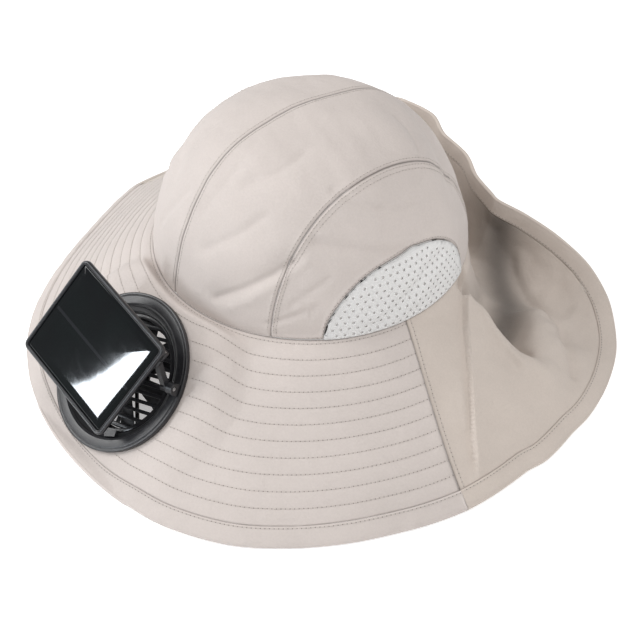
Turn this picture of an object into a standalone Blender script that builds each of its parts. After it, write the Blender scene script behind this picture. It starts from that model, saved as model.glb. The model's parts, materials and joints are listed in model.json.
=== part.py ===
"""Wide-brimmed sun hat with a neck flap, mesh side vents and a solar fan in the brim.

Metres, +Z up, the front of the hat towards -Y. Angles round the crown start at the front
and grow towards the wearer's left (+X). The hat lies on its hem, on the plane z = 0.
"""

import math

import bmesh
import bpy
import numpy as np
from mathutils import Matrix, Vector

# Crown
CROWN_RADIUS = 0.0950
CROWN_HEIGHT = 0.0912
CROWN_LEAN_X = 0.0059
CROWN_LEAN_Y = -0.0010
CROWN_FLATTENING = 1.61
CROWN_SHOULDER = 2.77
SIDE_SEAM_FRONT = 0.0625
SIDE_SEAM_MIDDLE = 0.0600
SIDE_SEAM_REAR = 0.0530
CROWN_CLOTH = 0.0012
CREASES_FROM = 0.20
SEAM_GAP = 0.0003

# Mesh vents
VENT_FRONT = 58.5
VENT_REAR = 121.0
VENT_HEIGHT = 0.0405
VENT_SKEW = 1.1
VENT_ROUNDNESS = 2.4
VENT_CLOTH = 0.0010
VENT_TIP_GAPS = 2.5

# Brim, flap and hem
SEAM_RISE = 0.0637
HEM_WIDTH = 0.0110
HEM_CLOTH = 0.0022
BRIM_CLOTH = 0.0020
BRIM_BULGE = 0.0010
FLAP_CLOTH = 0.0014
FLAP_SEAM_ANGLE = 88.0
FLAP_SEAM_LEAN = 6.5
FLAP_SEAM_GAP = 0.0006
BRIM_LEANS_FROM = 60.0
FLAP_LEANS_TO = 112.0

# Fan
FAN_ANGLE = 4.3
FAN_TILT = 40.3
SEAM_TO_RING = 0.0087
RING_TO_HEM = 0.0005
FAN_TURN = 6.0
RING_RADIUS = 0.0462
RING_BAND = 0.0070
RING_THICKNESS = 0.0030
DISH_DEPTH = 0.0040
SLEEVE_RADIUS = 0.0365
SLEEVE_WALL = 0.0016
SLEEVE_DEPTH = 0.0088
CUT_REACH = 0.0200
FIT = 0.0003
SEAT_MARGIN = 0.0040
SEAT_FADE = 0.0280
SLOT_WIDTH = 0.0031
SLOT_PITCH = 0.0052
SLOT_TURN = 20.0
SLOT_RADIUS = 0.0322
GRILLE_THICKNESS = 0.0014
BOSS_RADIUS = 0.0085
CLAMP_RADIUS = 0.0430
CLAMP_THICKNESS = 0.0018
BOWL_WALL = 0.0015
BOWL_DEPTH = 0.0086
BOWL_TAPER = 0.0045
GUARD_THICKNESS = 0.0014
GUARD_SEAT = 0.0012
GUARD_RIM = 0.0020
GUARD_SPOKES = 12
GUARD_SPOKE_WIDTH = 0.0020
MOTOR_SEAT = 0.0030
MOTOR_RADIUS = 0.0068
MOTOR_HEIGHT = 0.0046
SHAFT_RADIUS = 0.0010
HUB_RADIUS = 0.0095
HUB_WALL = 0.0012
HUB_HEIGHT = 0.0060
BLADES = 7
BLADE_RADIUS = 0.0312
BLADE_ROOT = 0.0062
BLADE_TIP = 0.0120
BLADE_THICKNESS = 0.0010
BLADE_PITCH = 24.0

# Panel hinge, in the ring's own frame
POST_ANGLE = 18.0
POST_WIDTH = 0.0068
POST_LENGTH = 0.0045
POST_HEIGHT = 0.0068
POST_INSET = 0.0012
SWIVEL_RISE = 0.0042
PIN_RADIUS = 0.0011
EYE_RADIUS = 0.0026
EYE_LENGTH = 0.0036
ARM_WIDTH = 0.0034
LUG_LENGTH = 0.0050
WEB_SHARE = 1.7

# Solar panel
PANEL_LENGTH = 0.0750
PANEL_WIDTH = 0.0650
PANEL_THICKNESS = 0.0034
PANEL_CORNER = 0.0040
PANEL_BEZEL = 0.0024
CELL_THICKNESS = 0.0010
CELL_RECESS = 0.0016
PANEL_TURN = -9.7
PANEL_FOLD = 10.2
PANEL_SWIVEL = 8.7
KNUCKLE_INSET = 0.0030
KNUCKLE_ALONG = 0.0218
PANEL_OUT = -0.0050
PANEL_ACROSS = 0.0055
PANEL_RISE = 0.0249

# Radii of the brim at the fan's middle and at the hem: the ring just fits between seam and hem
FAN_OUT = CROWN_RADIUS + SEAM_TO_RING + RING_RADIUS * math.cos(math.radians(FAN_TILT))
HEM_RADIUS = FAN_OUT + (RING_RADIUS + HEM_WIDTH) * math.cos(math.radians(FAN_TILT)) + RING_TO_HEM

# Brim outline: angle, and the hem's radius as a share of HEM_RADIUS
BRIM_OUTLINE = (
    (-81.5, 1.016), (-75, 0.990), (-68, 0.966), (-60, 0.952), (-52, 0.951), (-45, 0.959),
    (-30, 0.980), (-15, 0.990), (0, 0.998), (10, 1.007), (20, 1.021), (30, 1.036),
    (40, 1.038), (50, 1.026), (60, 1.013), (70, 1.004), (81.5, 1.004),
)

# Flap sections: angle, then one (out, up) pair for each fold line and for the hem.
# out is a share of the way from the crown seam to HEM_RADIUS, up a share of SEAM_RISE.
FLAP_COLUMNS = ("angle", "shoulder", "drop", "valley", "rise", "crease", "hem")
FLAP_SECTIONS = (
    (81, (0.17, 0.83), (0.34, 0.66), (0.51, 0.50), (0.68, 0.34), (0.85, 0.18), (1.01, 0.04)),
    (95, (0.17, 0.83), (0.34, 0.66), (0.51, 0.50), (0.68, 0.34), (0.85, 0.18), (0.99, 0.04)),
    (100, (0.17, 0.83), (0.34, 0.66), (0.52, 0.49), (0.70, 0.32), (0.87, 0.16), (1.02, 0.04)),
    (108, (0.17, 0.82), (0.34, 0.65), (0.52, 0.49), (0.72, 0.33), (0.90, 0.17), (1.03, 0.04)),
    (113, (0.16, 0.83), (0.33, 0.68), (0.52, 0.52), (0.73, 0.37), (0.91, 0.19), (1.06, 0.04)),
    (118, (0.07, 0.63), (0.18, 0.38), (0.35, 0.26), (0.60, 0.38), (0.86, 0.23), (1.08, 0.04)),
    (124, (0.07, 0.53), (0.18, 0.22), (0.33, 0.19), (0.57, 0.41), (0.84, 0.21), (1.10, 0.04)),
    (133, (0.07, 0.53), (0.17, 0.19), (0.33, 0.22), (0.52, 0.35), (0.76, 0.14), (1.12, 0.05)),
    (141, (0.07, 0.53), (0.17, 0.19), (0.33, 0.11), (0.55, 0.13), (0.82, 0.11), (1.09, 0.16)),
    (148, (0.07, 0.53), (0.16, 0.19), (0.28, 0.06), (0.48, 0.06), (0.74, 0.14), (0.98, 0.35)),
    (155, (0.07, 0.53), (0.14, 0.19), (0.25, 0.06), (0.40, 0.06), (0.60, 0.24), (0.77, 0.55)),
    (161, (0.06, 0.53), (0.11, 0.19), (0.20, 0.06), (0.33, 0.08), (0.48, 0.31), (0.58, 0.68)),
    (167, (0.05, 0.53), (0.10, 0.19), (0.16, 0.06), (0.24, 0.10), (0.33, 0.42), (0.38, 0.83)),
    (175, (0.05, 0.53), (0.10, 0.19), (0.16, 0.06), (0.24, 0.10), (0.31, 0.47), (0.35, 0.92)),
    (183, (0.05, 0.53), (0.10, 0.19), (0.16, 0.06), (0.25, 0.11), (0.34, 0.53), (0.40, 1.03)),
    (190, (0.05, 0.53), (0.10, 0.19), (0.16, 0.06), (0.25, 0.13), (0.33, 0.60), (0.37, 1.14)),
    (198, (0.06, 0.53), (0.11, 0.19), (0.19, 0.06), (0.31, 0.13), (0.41, 0.60), (0.48, 1.21)),
    (208, (0.06, 0.55), (0.14, 0.22), (0.25, 0.06), (0.39, 0.14), (0.50, 0.57), (0.57, 1.19)),
    (220, (0.08, 0.63), (0.19, 0.31), (0.35, 0.13), (0.52, 0.14), (0.65, 0.50), (0.72, 0.97)),
    (232, (0.12, 0.72), (0.26, 0.47), (0.44, 0.24), (0.62, 0.13), (0.77, 0.28), (0.85, 0.63)),
    (245, (0.16, 0.80), (0.32, 0.61), (0.50, 0.41), (0.68, 0.22), (0.84, 0.15), (0.97, 0.28)),
    (256, (0.17, 0.83), (0.34, 0.66), (0.52, 0.49), (0.70, 0.32), (0.87, 0.17), (1.02, 0.06)),
    (279, (0.17, 0.83), (0.34, 0.66), (0.51, 0.50), (0.69, 0.34), (0.87, 0.18), (1.03, 0.04)),
)

# Creases of the crown: both ends as (angle, share of the height), then the half width as a
# share of CROWN_RADIUS and the depth as a share of it (negative stands out)
CROWN_CREASES = (
    ((20, 0.16), (46, 0.47), 0.075, 0.016),
    ((56, 0.60), (96, 0.46), 0.065, 0.012),
    ((8, 0.42), (34, 0.66), 0.085, 0.010),
    ((18, 0.80), (48, 0.95), 0.070, 0.010),
    ((70, 0.78), (110, 0.72), 0.060, -0.008),
    ((135, 0.55), (170, 0.80), 0.075, 0.018),
    ((141, 0.32), (152, 0.88), 0.180, 0.026),
    ((200, 0.60), (240, 0.85), 0.080, 0.014),
    ((290, 0.45), (330, 0.62), 0.080, 0.012),
)

# Divisions
PANEL_ROWS = 16
UPPER_COLUMNS = 6
LOWER_ROWS = 5
VENT_ROWS = 4
VENT_FIRST = 3
VENT_LAST = 13
BRIM_COLUMNS = 44
BRIM_ROWS = 9
FLAP_STEPS = 46
FLAP_ROWS = 14
ROUND_STEPS = 40
POST_STEPS = 10
ROD_STEPS = 16
CORNER_STEPS = 4
SECTION_POINTS = 61
WELD = 0.00001
SHARP_ANGLE = 35.0

# Finishes: colour, roughness and metallic
BLACK = (0.012, 0.012, 0.013)
CLOTH = ((0.60, 0.545, 0.505), 0.85, 0.0)
MESH = ((0.84, 0.83, 0.81), 0.8, 0.0)
PLASTIC = (BLACK, 0.35, 0.0)
GLASS = ((0.006, 0.006, 0.009), 0.08, 0.0)
STEEL = ((0.45, 0.45, 0.46), 0.3, 1.0)


def clear_scene():
    for obj in list(bpy.data.objects):
        bpy.data.objects.remove(obj, do_unlink=True)


def new_collection(name, rendered=True):
    collection = bpy.data.collections.new(name)
    collection.hide_render = not rendered
    bpy.context.scene.collection.children.link(collection)
    return collection


def new_material(name, colour, roughness, metallic=0.0):
    material = bpy.data.materials.new(name)
    material.use_nodes = True
    shader = material.node_tree.nodes["Principled BSDF"]
    shader.inputs["Base Color"].default_value = (*colour, 1.0)
    shader.inputs["Roughness"].default_value = roughness
    shader.inputs["Metallic"].default_value = metallic
    return material


def add_object(name, bm, parent=None, finish=None, cutter=False):
    """Turns a bmesh into a named object, in the parts' or the cutters' collection."""
    mesh = bpy.data.meshes.new(name)
    bm.to_mesh(mesh)
    bm.free()
    obj = bpy.data.objects.new(name, mesh)
    obj.parent = parent
    if cutter:
        CUTTERS.objects.link(obj)
        obj.hide_render = True
        obj.display_type = "WIRE"
        return obj
    PARTS.objects.link(obj)
    colour, roughness, metallic = finish
    mesh.materials.append(new_material(name, colour, roughness, metallic))
    mesh.shade_smooth()
    mesh.set_sharp_from_angle(angle=math.radians(SHARP_ANGLE))
    return obj


def add_empty(name, matrix, parent=None):
    empty = bpy.data.objects.new(name, None)
    empty.parent = parent
    empty.matrix_local = matrix
    PARTS.objects.link(empty)
    return empty


def boolean(obj, other, operation):
    modifier = obj.modifiers.new(f"{operation.lower()}_{other.name}", "BOOLEAN")
    modifier.operation = operation
    modifier.object = other


def smooth_step(value):
    value = np.clip(value, 0.0, 1.0)
    return value * value * (3.0 - 2.0 * value)


def run_through(knots, values, at):
    """A smooth curve through the values that never swings past them."""
    knots, values = np.asarray(knots, float), np.asarray(values, float)
    slopes = np.diff(values) / np.diff(knots)
    tangents = np.empty(len(values))
    tangents[0], tangents[-1] = slopes[0], slopes[-1]
    before, after = slopes[:-1], slopes[1:]
    same_way = before * after > 0
    mean = 2.0 * before * after / np.where(same_way, before + after, 1.0)
    tangents[1:-1] = np.where(same_way, mean, 0.0)
    index = int(np.clip(np.searchsorted(knots, at) - 1, 0, len(slopes) - 1))
    width = knots[index + 1] - knots[index]
    share = (at - knots[index]) / width
    square, cube = share**2, share**3
    return (
        (2 * cube - 3 * square + 1) * values[index]
        + (cube - 2 * square + share) * width * tangents[index]
        + (3 * square - 2 * cube) * values[index + 1]
        + (cube - square) * width * tangents[index + 1]
    )


# Crown surface


def dome_girth(up):
    """The dome's radius at a share of its height, as a share of the crown's radius."""
    return (1.0 - np.clip(up, 0.0, 1.0) ** CROWN_FLATTENING) ** (1.0 / CROWN_SHOULDER)


def dome_lean(up):
    return CROWN_LEAN_X * up**1.5, CROWN_LEAN_Y * up**1.5


def dome_point(angle, up):
    """The dome at an angle in degrees and a share of its height, before its creases."""
    turn = math.radians(angle)
    radius = CROWN_RADIUS * dome_girth(up)
    lean_x, lean_y = dome_lean(up)
    return Vector((
        radius * math.sin(turn) + lean_x,
        -radius * math.cos(turn) + lean_y,
        SEAM_RISE + SEAM_GAP + CROWN_HEIGHT * up,
    ))


def dome_above(x, y):
    """(angle, share of the height) of the dome straight above a point of its base."""
    low, high = 0.0, 1.0
    for _ in range(40):
        up = (low + high) / 2
        lean_x, lean_y = dome_lean(up)
        if math.hypot(x - lean_x, y - lean_y) < CROWN_RADIUS * dome_girth(up):
            low = up
        else:
            high = up
    lean_x, lean_y = dome_lean(low)
    return math.degrees(math.atan2(x - lean_x, -(y - lean_y))), low


def crease(point):
    """Moves a point of the dome in or out by the creases near it, and leaves the base still."""
    centre = Vector((0.0, 0.0, SEAM_RISE + CROWN_HEIGHT / 3))
    inward = (centre - point).normalized()
    still = smooth_step((point.z - SEAM_RISE) / (CREASES_FROM * CROWN_HEIGHT))
    depth = 0.0
    for first, last, width, deep in CROWN_CREASES:
        start, end = dome_point(*first), dome_point(*last)
        along = np.clip((point - start).dot(end - start) / (end - start).length_squared, 0, 1)
        away = (point - start.lerp(end, along)).length / (width * CROWN_RADIUS)
        depth += deep * CROWN_RADIUS * math.exp(-(away**2))
    return point + inward * (depth * still)


def side_seam_x(share):
    """How far the side seam lies from the middle, from the front (0) to the rear (1)."""
    knots = (0.0, 0.5, 1.0)
    return run_through(knots, (SIDE_SEAM_FRONT, SIDE_SEAM_MIDDLE, SIDE_SEAM_REAR), share)


def seam_station(x, share):
    """(angle, up) where the fore-and-aft plane at x meets the dome, share of the way back."""
    y = -math.sqrt(CROWN_RADIUS**2 - x * x) * math.cos(math.pi * share)
    if share in (0.0, 1.0):
        return math.degrees(math.atan2(x, -y)), 0.0
    return dome_above(x, y)


def sheet_of(grid, name, thickness, finish, flip=False):
    """A cloth piece from a grid of points on its outer face, thickened inwards."""
    bm = bmesh.new()
    rows = [[bm.verts.new(point) for point in row] for row in grid]
    for near, far in zip(rows, rows[1:]):
        for a, b, c, d in zip(near, near[1:], far[1:], far):
            bm.faces.new((d, c, b, a) if flip else (a, b, c, d))
    bmesh.ops.remove_doubles(bm, verts=bm.verts[:], dist=WELD)
    obj = add_object(name, bm, finish=finish)
    wall = obj.modifiers.new("wall", "SOLIDIFY")
    wall.thickness = thickness
    wall.offset = -1.0
    wall.use_even_offset = True
    return obj


def upper_panel(name, side):
    """Crown panel between the centre seam and one side seam."""
    grid = []
    for row in range(PANEL_ROWS + 1):
        share = row / PANEL_ROWS
        outer = side_seam_x(share) - SEAM_GAP / 2
        line = []
        for column in range(UPPER_COLUMNS + 1):
            x = SEAM_GAP / 2 + (outer - SEAM_GAP / 2) * column / UPPER_COLUMNS
            line.append(crease(dome_point(*seam_station(side * x, share))))
        grid.append(line)
    return sheet_of(grid, name, CROWN_CLOTH, CLOTH, flip=side < 0)


def vent_top(angle):
    """The height of a vent's curved top edge at an angle, as a share of the crown's."""
    share = (angle - VENT_FRONT) / (VENT_REAR - VENT_FRONT)
    if not 0.0 < share < 1.0:
        return 0.0
    curve = (1.0 - abs(2.0 * share**VENT_SKEW - 1.0) ** VENT_ROUNDNESS) ** 0.5
    return VENT_HEIGHT / CROWN_HEIGHT * curve


def base_angle(row, front, rear):
    """The angle on the crown's base below each row of a lower panel; the vent has its own."""
    knots = (0, VENT_FIRST, VENT_LAST, PANEL_ROWS)
    return float(np.interp(row, knots, (front, VENT_FRONT, VENT_REAR, rear)))


def lower_panel(name, side):
    """Crown panel from a side seam down to the base and round the top of the vent."""
    half_gap = SEAM_GAP / 2 / CROWN_HEIGHT
    front = seam_station(SIDE_SEAM_FRONT + SEAM_GAP / 2, 0.0)[0]
    rear = seam_station(SIDE_SEAM_REAR + SEAM_GAP / 2, 1.0)[0]
    grid = []
    for row in range(PANEL_ROWS + 1):
        share = row / PANEL_ROWS
        x = side_seam_x(share) + SEAM_GAP / 2
        top_angle, top_up = seam_station(side * x, share)
        low_angle = side * base_angle(row, front, rear)
        low_up = vent_top(abs(low_angle))
        low_up += half_gap * 2 if low_up > 0 else 0.0
        line = []
        for column in range(LOWER_ROWS + 1):
            down = column / LOWER_ROWS
            angle = top_angle + (low_angle - top_angle) * down
            line.append(crease(dome_point(angle, top_up + (low_up - top_up) * down)))
        grid.append(line)
    return sheet_of(grid, name, CROWN_CLOTH, CLOTH, flip=side < 0)


def mesh_vent(name, side):
    """Mesh panel between the crown's base and the lower panel's curved edge."""
    front = seam_station(SIDE_SEAM_FRONT + SEAM_GAP / 2, 0.0)[0]
    rear = seam_station(SIDE_SEAM_REAR + SEAM_GAP / 2, 1.0)[0]
    tip = math.degrees(VENT_TIP_GAPS * SEAM_GAP / CROWN_RADIUS)
    grid = []
    for row in range(VENT_FIRST, VENT_LAST + 1):
        angle = base_angle(row, front, rear)
        top = max(vent_top(angle) - SEAM_GAP / CROWN_HEIGHT, 0.0)
        angle += tip if row == VENT_FIRST else -tip if row == VENT_LAST else 0.0
        line = []
        for column in range(VENT_ROWS + 1):
            up = top * (1.0 - column / VENT_ROWS)
            line.append(crease(dome_point(side * angle, up)))
        grid.append(line)
    return sheet_of(grid, name, VENT_CLOTH, MESH, flip=side < 0)


# Brim and flap surface


def brim_section(angle):
    """(radius, height) pairs down the brim from the crown seam to the hem's edge."""
    angles, shares = zip(*BRIM_OUTLINE)
    reach = run_through(angles, shares, angle) * HEM_RADIUS
    share = np.linspace(0.0, 1.0, SECTION_POINTS)
    radius = CROWN_RADIUS + (reach - CROWN_RADIUS) * share
    height = SEAM_RISE + (HEM_CLOTH - SEAM_RISE) * share
    return np.column_stack((radius, height + BRIM_BULGE * np.sin(np.pi * share)))


def flap_section(angle):
    """(radius, height) pairs over the flap's folds from the crown seam to the hem's edge."""
    angles = [row[0] for row in FLAP_SECTIONS]
    marks = np.arange(len(FLAP_COLUMNS))
    outs, ups = [0.0], [1.0]
    for column in range(1, len(FLAP_COLUMNS)):
        outs.append(run_through(angles, [row[column][0] for row in FLAP_SECTIONS], angle))
        ups.append(run_through(angles, [row[column][1] for row in FLAP_SECTIONS], angle))
    at = np.linspace(0.0, marks[-1], SECTION_POINTS)
    radius = CROWN_RADIUS + (HEM_RADIUS - CROWN_RADIUS) * np.array(
        [run_through(marks, outs, mark) for mark in at])
    height = np.array([run_through(marks, ups, mark) for mark in at]) * SEAM_RISE
    return np.column_stack((radius, height))


def fan_axes():
    """The seat of the fan on the brim and the three axes of its ring."""
    turn, tilt = math.radians(FAN_TURN), math.radians(FAN_TILT)
    normal = Vector((
        math.sin(turn) * math.sin(tilt),
        -math.cos(turn) * math.sin(tilt),
        math.cos(tilt),
    ))
    left = Vector((math.cos(turn), math.sin(turn), 0.0))
    section = brim_section(FAN_ANGLE)
    height = float(np.interp(FAN_OUT, section[:, 0], section[:, 1]))
    around = math.radians(FAN_ANGLE)
    seat = Vector((FAN_OUT * math.sin(around), -FAN_OUT * math.cos(around), height))
    return seat, left, normal.cross(left), normal


def press_to_seat(point):
    """Lays the brim flat under the ring, fading out past its edge and to the crown seam."""
    seat, left, up_slope, normal = fan_axes()
    offset = point - seat
    flat = seat.z - (normal.x * offset.x + normal.y * offset.y) / normal.z
    away = math.hypot(offset.dot(left), offset.dot(up_slope)) - RING_RADIUS - SEAT_MARGIN
    held = smooth_step((math.hypot(point.x, point.y) - CROWN_RADIUS) / SEAT_MARGIN / 2)
    weight = (1.0 - smooth_step(away / SEAT_FADE)) * held
    height = point.z + (flat - point.z) * float(weight)
    return Vector((point.x, point.y, max(height, HEM_CLOTH)))


def angle_at_hem(angle):
    """Where the column that leaves the crown at an angle ends: both side seams lean forward."""
    fold = angle if angle <= 180.0 else angle - 360.0
    if abs(fold) < FLAP_SEAM_ANGLE:
        near = (abs(fold) - BRIM_LEANS_FROM) / (FLAP_SEAM_ANGLE - BRIM_LEANS_FROM)
    else:
        near = (FLAP_LEANS_TO - abs(fold)) / (FLAP_LEANS_TO - FLAP_SEAM_ANGLE)
    return angle - math.copysign(FLAP_SEAM_LEAN, fold) * float(smooth_step(near))


def skirt_grid(section_of, first, last, columns, rows, start, end):
    """A grid from `start` to `end` along the sections, as lengths of cloth.

    An end of zero or less is measured back from the hem's edge. The first and the last
    column stand half a seam's gap inside their angles.
    """
    grid = []
    for column in range(columns + 1):
        angle = first + (last - first) * column / columns
        hem_angle = angle_at_hem(angle)
        section = section_of(hem_angle)
        steps = np.hypot(*np.diff(section, axis=0).T)
        run = np.concatenate(([0.0], np.cumsum(steps)))
        begin = start if start >= 0 else run[-1] + start
        finish = end if end > 0 else run[-1] + end
        inset = FLAP_SEAM_GAP / 2 * ((column == 0) - (column == columns))
        line = []
        for row in range(rows + 1):
            at = begin + (finish - begin) * row / rows
            radius = float(np.interp(at, run, section[:, 0]))
            height = float(np.interp(at, run, section[:, 1]))
            left_to_go = (1.0 - at / run[-1]) ** 2
            turn = math.radians(hem_angle + (angle - hem_angle) * left_to_go) + inset / radius
            point = Vector((radius * math.sin(turn), -radius * math.cos(turn), height))
            line.append(press_to_seat(point) if section_of is brim_section else point)
        grid.append(line)
    return grid


def skirt_pieces():
    """Brim, neck flap, and the hem of each."""
    edge = FLAP_SEAM_ANGLE
    cloth_end = -(HEM_WIDTH + SEAM_GAP)
    whole = 360.0 - edge
    pieces = (
        ("brim", brim_section, -edge, edge, BRIM_COLUMNS, BRIM_ROWS, 0.0, cloth_end,
         BRIM_CLOTH),
        ("brim_hem", brim_section, -edge, edge, BRIM_COLUMNS, 2, -HEM_WIDTH, 0.0, HEM_CLOTH),
        ("neck_flap", flap_section, edge, whole, FLAP_STEPS, FLAP_ROWS, 0.0,
         cloth_end, FLAP_CLOTH),
        ("flap_hem", flap_section, edge, whole, FLAP_STEPS, 2, -HEM_WIDTH, 0.0,
         HEM_CLOTH),
    )
    made = {}
    for name, section_of, first, last, columns, rows, start, end, cloth in pieces:
        grid = skirt_grid(section_of, first, last, columns, rows, start, end)
        made[name] = sheet_of(grid, name, cloth, CLOTH)
    return made


# Fan


def turned(name, profile, parent, finish=None, cutter=False):
    """A turned piece from a closed profile of (radius, height), outer side downwards."""
    bm = bmesh.new()
    points = [bm.verts.new((radius, 0.0, height)) for radius, height in profile]
    for a, b in zip(points, points[1:] + points[:1]):
        bm.edges.new((a, b))
    obj = add_object(name, bm, parent, finish, cutter)
    screw = obj.modifiers.new("turn", "SCREW")
    screw.steps = ROUND_STEPS
    screw.render_steps = ROUND_STEPS
    screw.use_merge_vertices = True
    screw.merge_threshold = 0.0001
    return obj


def disc(name, radius, low, high, parent, finish=None, cutter=False, steps=ROUND_STEPS):
    """A round plate or plug about the parent's Z axis."""
    bm = bmesh.new()
    place = Matrix.Translation((0.0, 0.0, (low + high) / 2))
    bmesh.ops.create_cone(
        bm, cap_ends=True, segments=steps, radius1=radius, radius2=radius,
        depth=high - low, matrix=place)
    return add_object(name, bm, parent, finish, cutter)


def add_block(bm, size, matrix):
    """A box of the given sides, centred by the matrix."""
    bmesh.ops.create_cube(bm, size=1.0, matrix=matrix @ Matrix.Diagonal((*size, 1.0)))


def fan_levels():
    """Heights in the ring's frame, whose zero is the top of the ring."""
    seat = -RING_THICKNESS
    under_brim = seat - FIT - max(BRIM_CLOTH, HEM_CLOTH) - FIT
    clamp = under_brim - CLAMP_THICKNESS
    bowl = clamp - BOWL_DEPTH
    grille_top = -DISH_DEPTH
    grille = grille_top - GRILLE_THICKNESS
    return seat, under_brim, clamp, bowl, grille_top, grille


def make_ring(frame):
    """Clamp ring on top of the brim: flange, dished inside and sleeve through the brim."""
    seat, _, _, _, grille_top, _ = fan_levels()
    band = RING_RADIUS - RING_BAND
    inside = SLEEVE_RADIUS - SLEEVE_WALL
    lip = RING_THICKNESS / 4
    profile = (
        (RING_RADIUS - lip, 0.0), (RING_RADIUS, -lip), (RING_RADIUS, seat + lip),
        (RING_RADIUS - lip, seat), (SLEEVE_RADIUS, seat), (SLEEVE_RADIUS, -SLEEVE_DEPTH),
        (inside, -SLEEVE_DEPTH), (inside, grille_top), (band, -lip / 2), (band + lip, 0.0),
    )
    return turned("fan_ring", profile, frame, PLASTIC)


def make_grille(frame):
    """Round intake grille with parallel slots either side of a solid middle."""
    *_, grille_top, grille = fan_levels()
    radius = SLEEVE_RADIUS - SLEEVE_WALL - FIT
    plate = disc("fan_grille", radius, grille, grille_top, frame, PLASTIC)
    bm = bmesh.new()
    turn = Matrix.Rotation(math.radians(SLOT_TURN), 4, "Z")
    deep = GRILLE_THICKNESS * 3
    middle = (grille + grille_top) / 2
    count = int((SLOT_RADIUS - SLOT_WIDTH) / SLOT_PITCH)
    for index in range(-count, count + 1):
        offset = index * SLOT_PITCH
        far = abs(offset) + SLOT_WIDTH / 2
        reach = math.sqrt(SLOT_RADIUS**2 - far**2)
        if abs(offset) < BOSS_RADIUS + SLOT_WIDTH / 2:
            inner = math.sqrt(max(BOSS_RADIUS**2 - max(abs(offset) - SLOT_WIDTH / 2, 0) ** 2, 0))
            spans = ((inner, reach), (-reach, -inner)) if inner > 0 else ((-reach, reach),)
        else:
            spans = ((-reach, reach),)
        for low, high in spans:
            place = turn @ Matrix.Translation(((low + high) / 2, offset, middle))
            add_block(bm, (high - low, SLOT_WIDTH, deep), place)
    boolean(plate, add_object("grille_slots", bm, frame, cutter=True), "DIFFERENCE")
    return plate


def make_bowl(frame):
    """Clamp plate under the brim and the tapered bowl that holds the fan."""
    _, under_brim, clamp, bowl, _, _ = fan_levels()
    inner = SLEEVE_RADIUS + FIT
    outer = inner + BOWL_WALL
    foot = outer - BOWL_TAPER
    mouth = foot - BOWL_WALL - GUARD_SEAT
    shelf = bowl + GUARD_THICKNESS + FIT
    profile = (
        (CLAMP_RADIUS, under_brim), (CLAMP_RADIUS, clamp), (outer, clamp),
        (outer, -SLEEVE_DEPTH - FIT), (foot, bowl), (mouth, bowl), (mouth, shelf),
        (foot - BOWL_WALL, shelf), (inner, -SLEEVE_DEPTH - FIT), (inner, under_brim),
    )
    return turned("fan_bowl", profile, frame, PLASTIC)


def make_guard(frame):
    """Outlet guard set in the bowl's mouth, with the motor's seat in its middle."""
    _, _, _, bowl, _, _ = fan_levels()
    radius = SLEEVE_RADIUS + FIT - BOWL_TAPER - GUARD_SEAT - FIT
    plate = disc("fan_guard", radius, bowl, bowl + GUARD_THICKNESS, frame, PLASTIC)
    bm = bmesh.new()
    inner = MOTOR_RADIUS + MOTOR_SEAT
    outer = radius - GUARD_RIM
    for index in range(GUARD_SPOKES):
        turn = Matrix.Rotation(math.tau * index / GUARD_SPOKES, 4, "Z")
        opening = bmesh.ops.create_cube(bm, size=2.0)["verts"]
        for vert in opening:
            reach = inner if vert.co.x < 0 else outer
            half_width = math.pi * reach / GUARD_SPOKES - GUARD_SPOKE_WIDTH / 2
            height = bowl + vert.co.z * GUARD_THICKNESS * 2
            vert.co = turn @ Vector((reach, vert.co.y * half_width, height))
    boolean(plate, add_object("guard_slots", bm, frame, cutter=True), "DIFFERENCE")
    return plate


def make_motor(frame):
    """Motor can on the guard, with its shaft."""
    _, _, _, bowl, _, grille = fan_levels()
    floor = bowl + GUARD_THICKNESS + FIT
    top = floor + MOTOR_HEIGHT
    shaft_top = grille - FIT * 2 - HUB_WALL - FIT
    profile = (
        (SHAFT_RADIUS, shaft_top), (SHAFT_RADIUS, top), (MOTOR_RADIUS, top),
        (MOTOR_RADIUS, floor), (0.0, floor), (0.0, shaft_top),
    )
    return turned("fan_motor", profile, frame, STEEL)


def make_rotor(frame):
    """Hub cup over the motor, with pitched blades joined to it."""
    *_, grille = fan_levels()
    top = grille - FIT * 2
    inner = HUB_RADIUS - HUB_WALL
    profile = (
        (HUB_RADIUS, top), (HUB_RADIUS, top - HUB_HEIGHT), (inner, top - HUB_HEIGHT),
        (inner, top - HUB_WALL), (0.0, top - HUB_WALL), (0.0, top),
    )
    hub = turned("fan_rotor", profile, frame, PLASTIC)
    pitch = Matrix.Rotation(math.radians(BLADE_PITCH), 4, "X")
    middle = top - HUB_HEIGHT / 2
    for index in range(BLADES):
        turn = Matrix.Rotation(math.tau * index / BLADES, 4, "Z")
        bm = bmesh.new()
        bmesh.ops.create_cube(bm, size=1.0)
        root = HUB_RADIUS - HUB_WALL / 2
        for vert in bm.verts:
            chord = BLADE_ROOT if vert.co.x < 0 else BLADE_TIP
            out = root if vert.co.x < 0 else BLADE_RADIUS
            flat = Vector((0.0, vert.co.y * chord, vert.co.z * BLADE_THICKNESS))
            vert.co = turn @ (Vector((out, 0.0, middle)) + pitch @ flat)
        blade = add_object(f"blade_{index + 1}", bm, frame, cutter=True)
        boolean(hub, blade, "UNION")
    return hub


# Hinge and solar panel


def panel_attitude():
    """The panel's rotation in the ring's frame."""
    return (
        Matrix.Rotation(math.radians(PANEL_TURN), 4, "Z")
        @ Matrix.Rotation(math.radians(PANEL_FOLD), 4, "Y")
        @ Matrix.Rotation(math.radians(PANEL_SWIVEL), 4, "X")
    )


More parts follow.
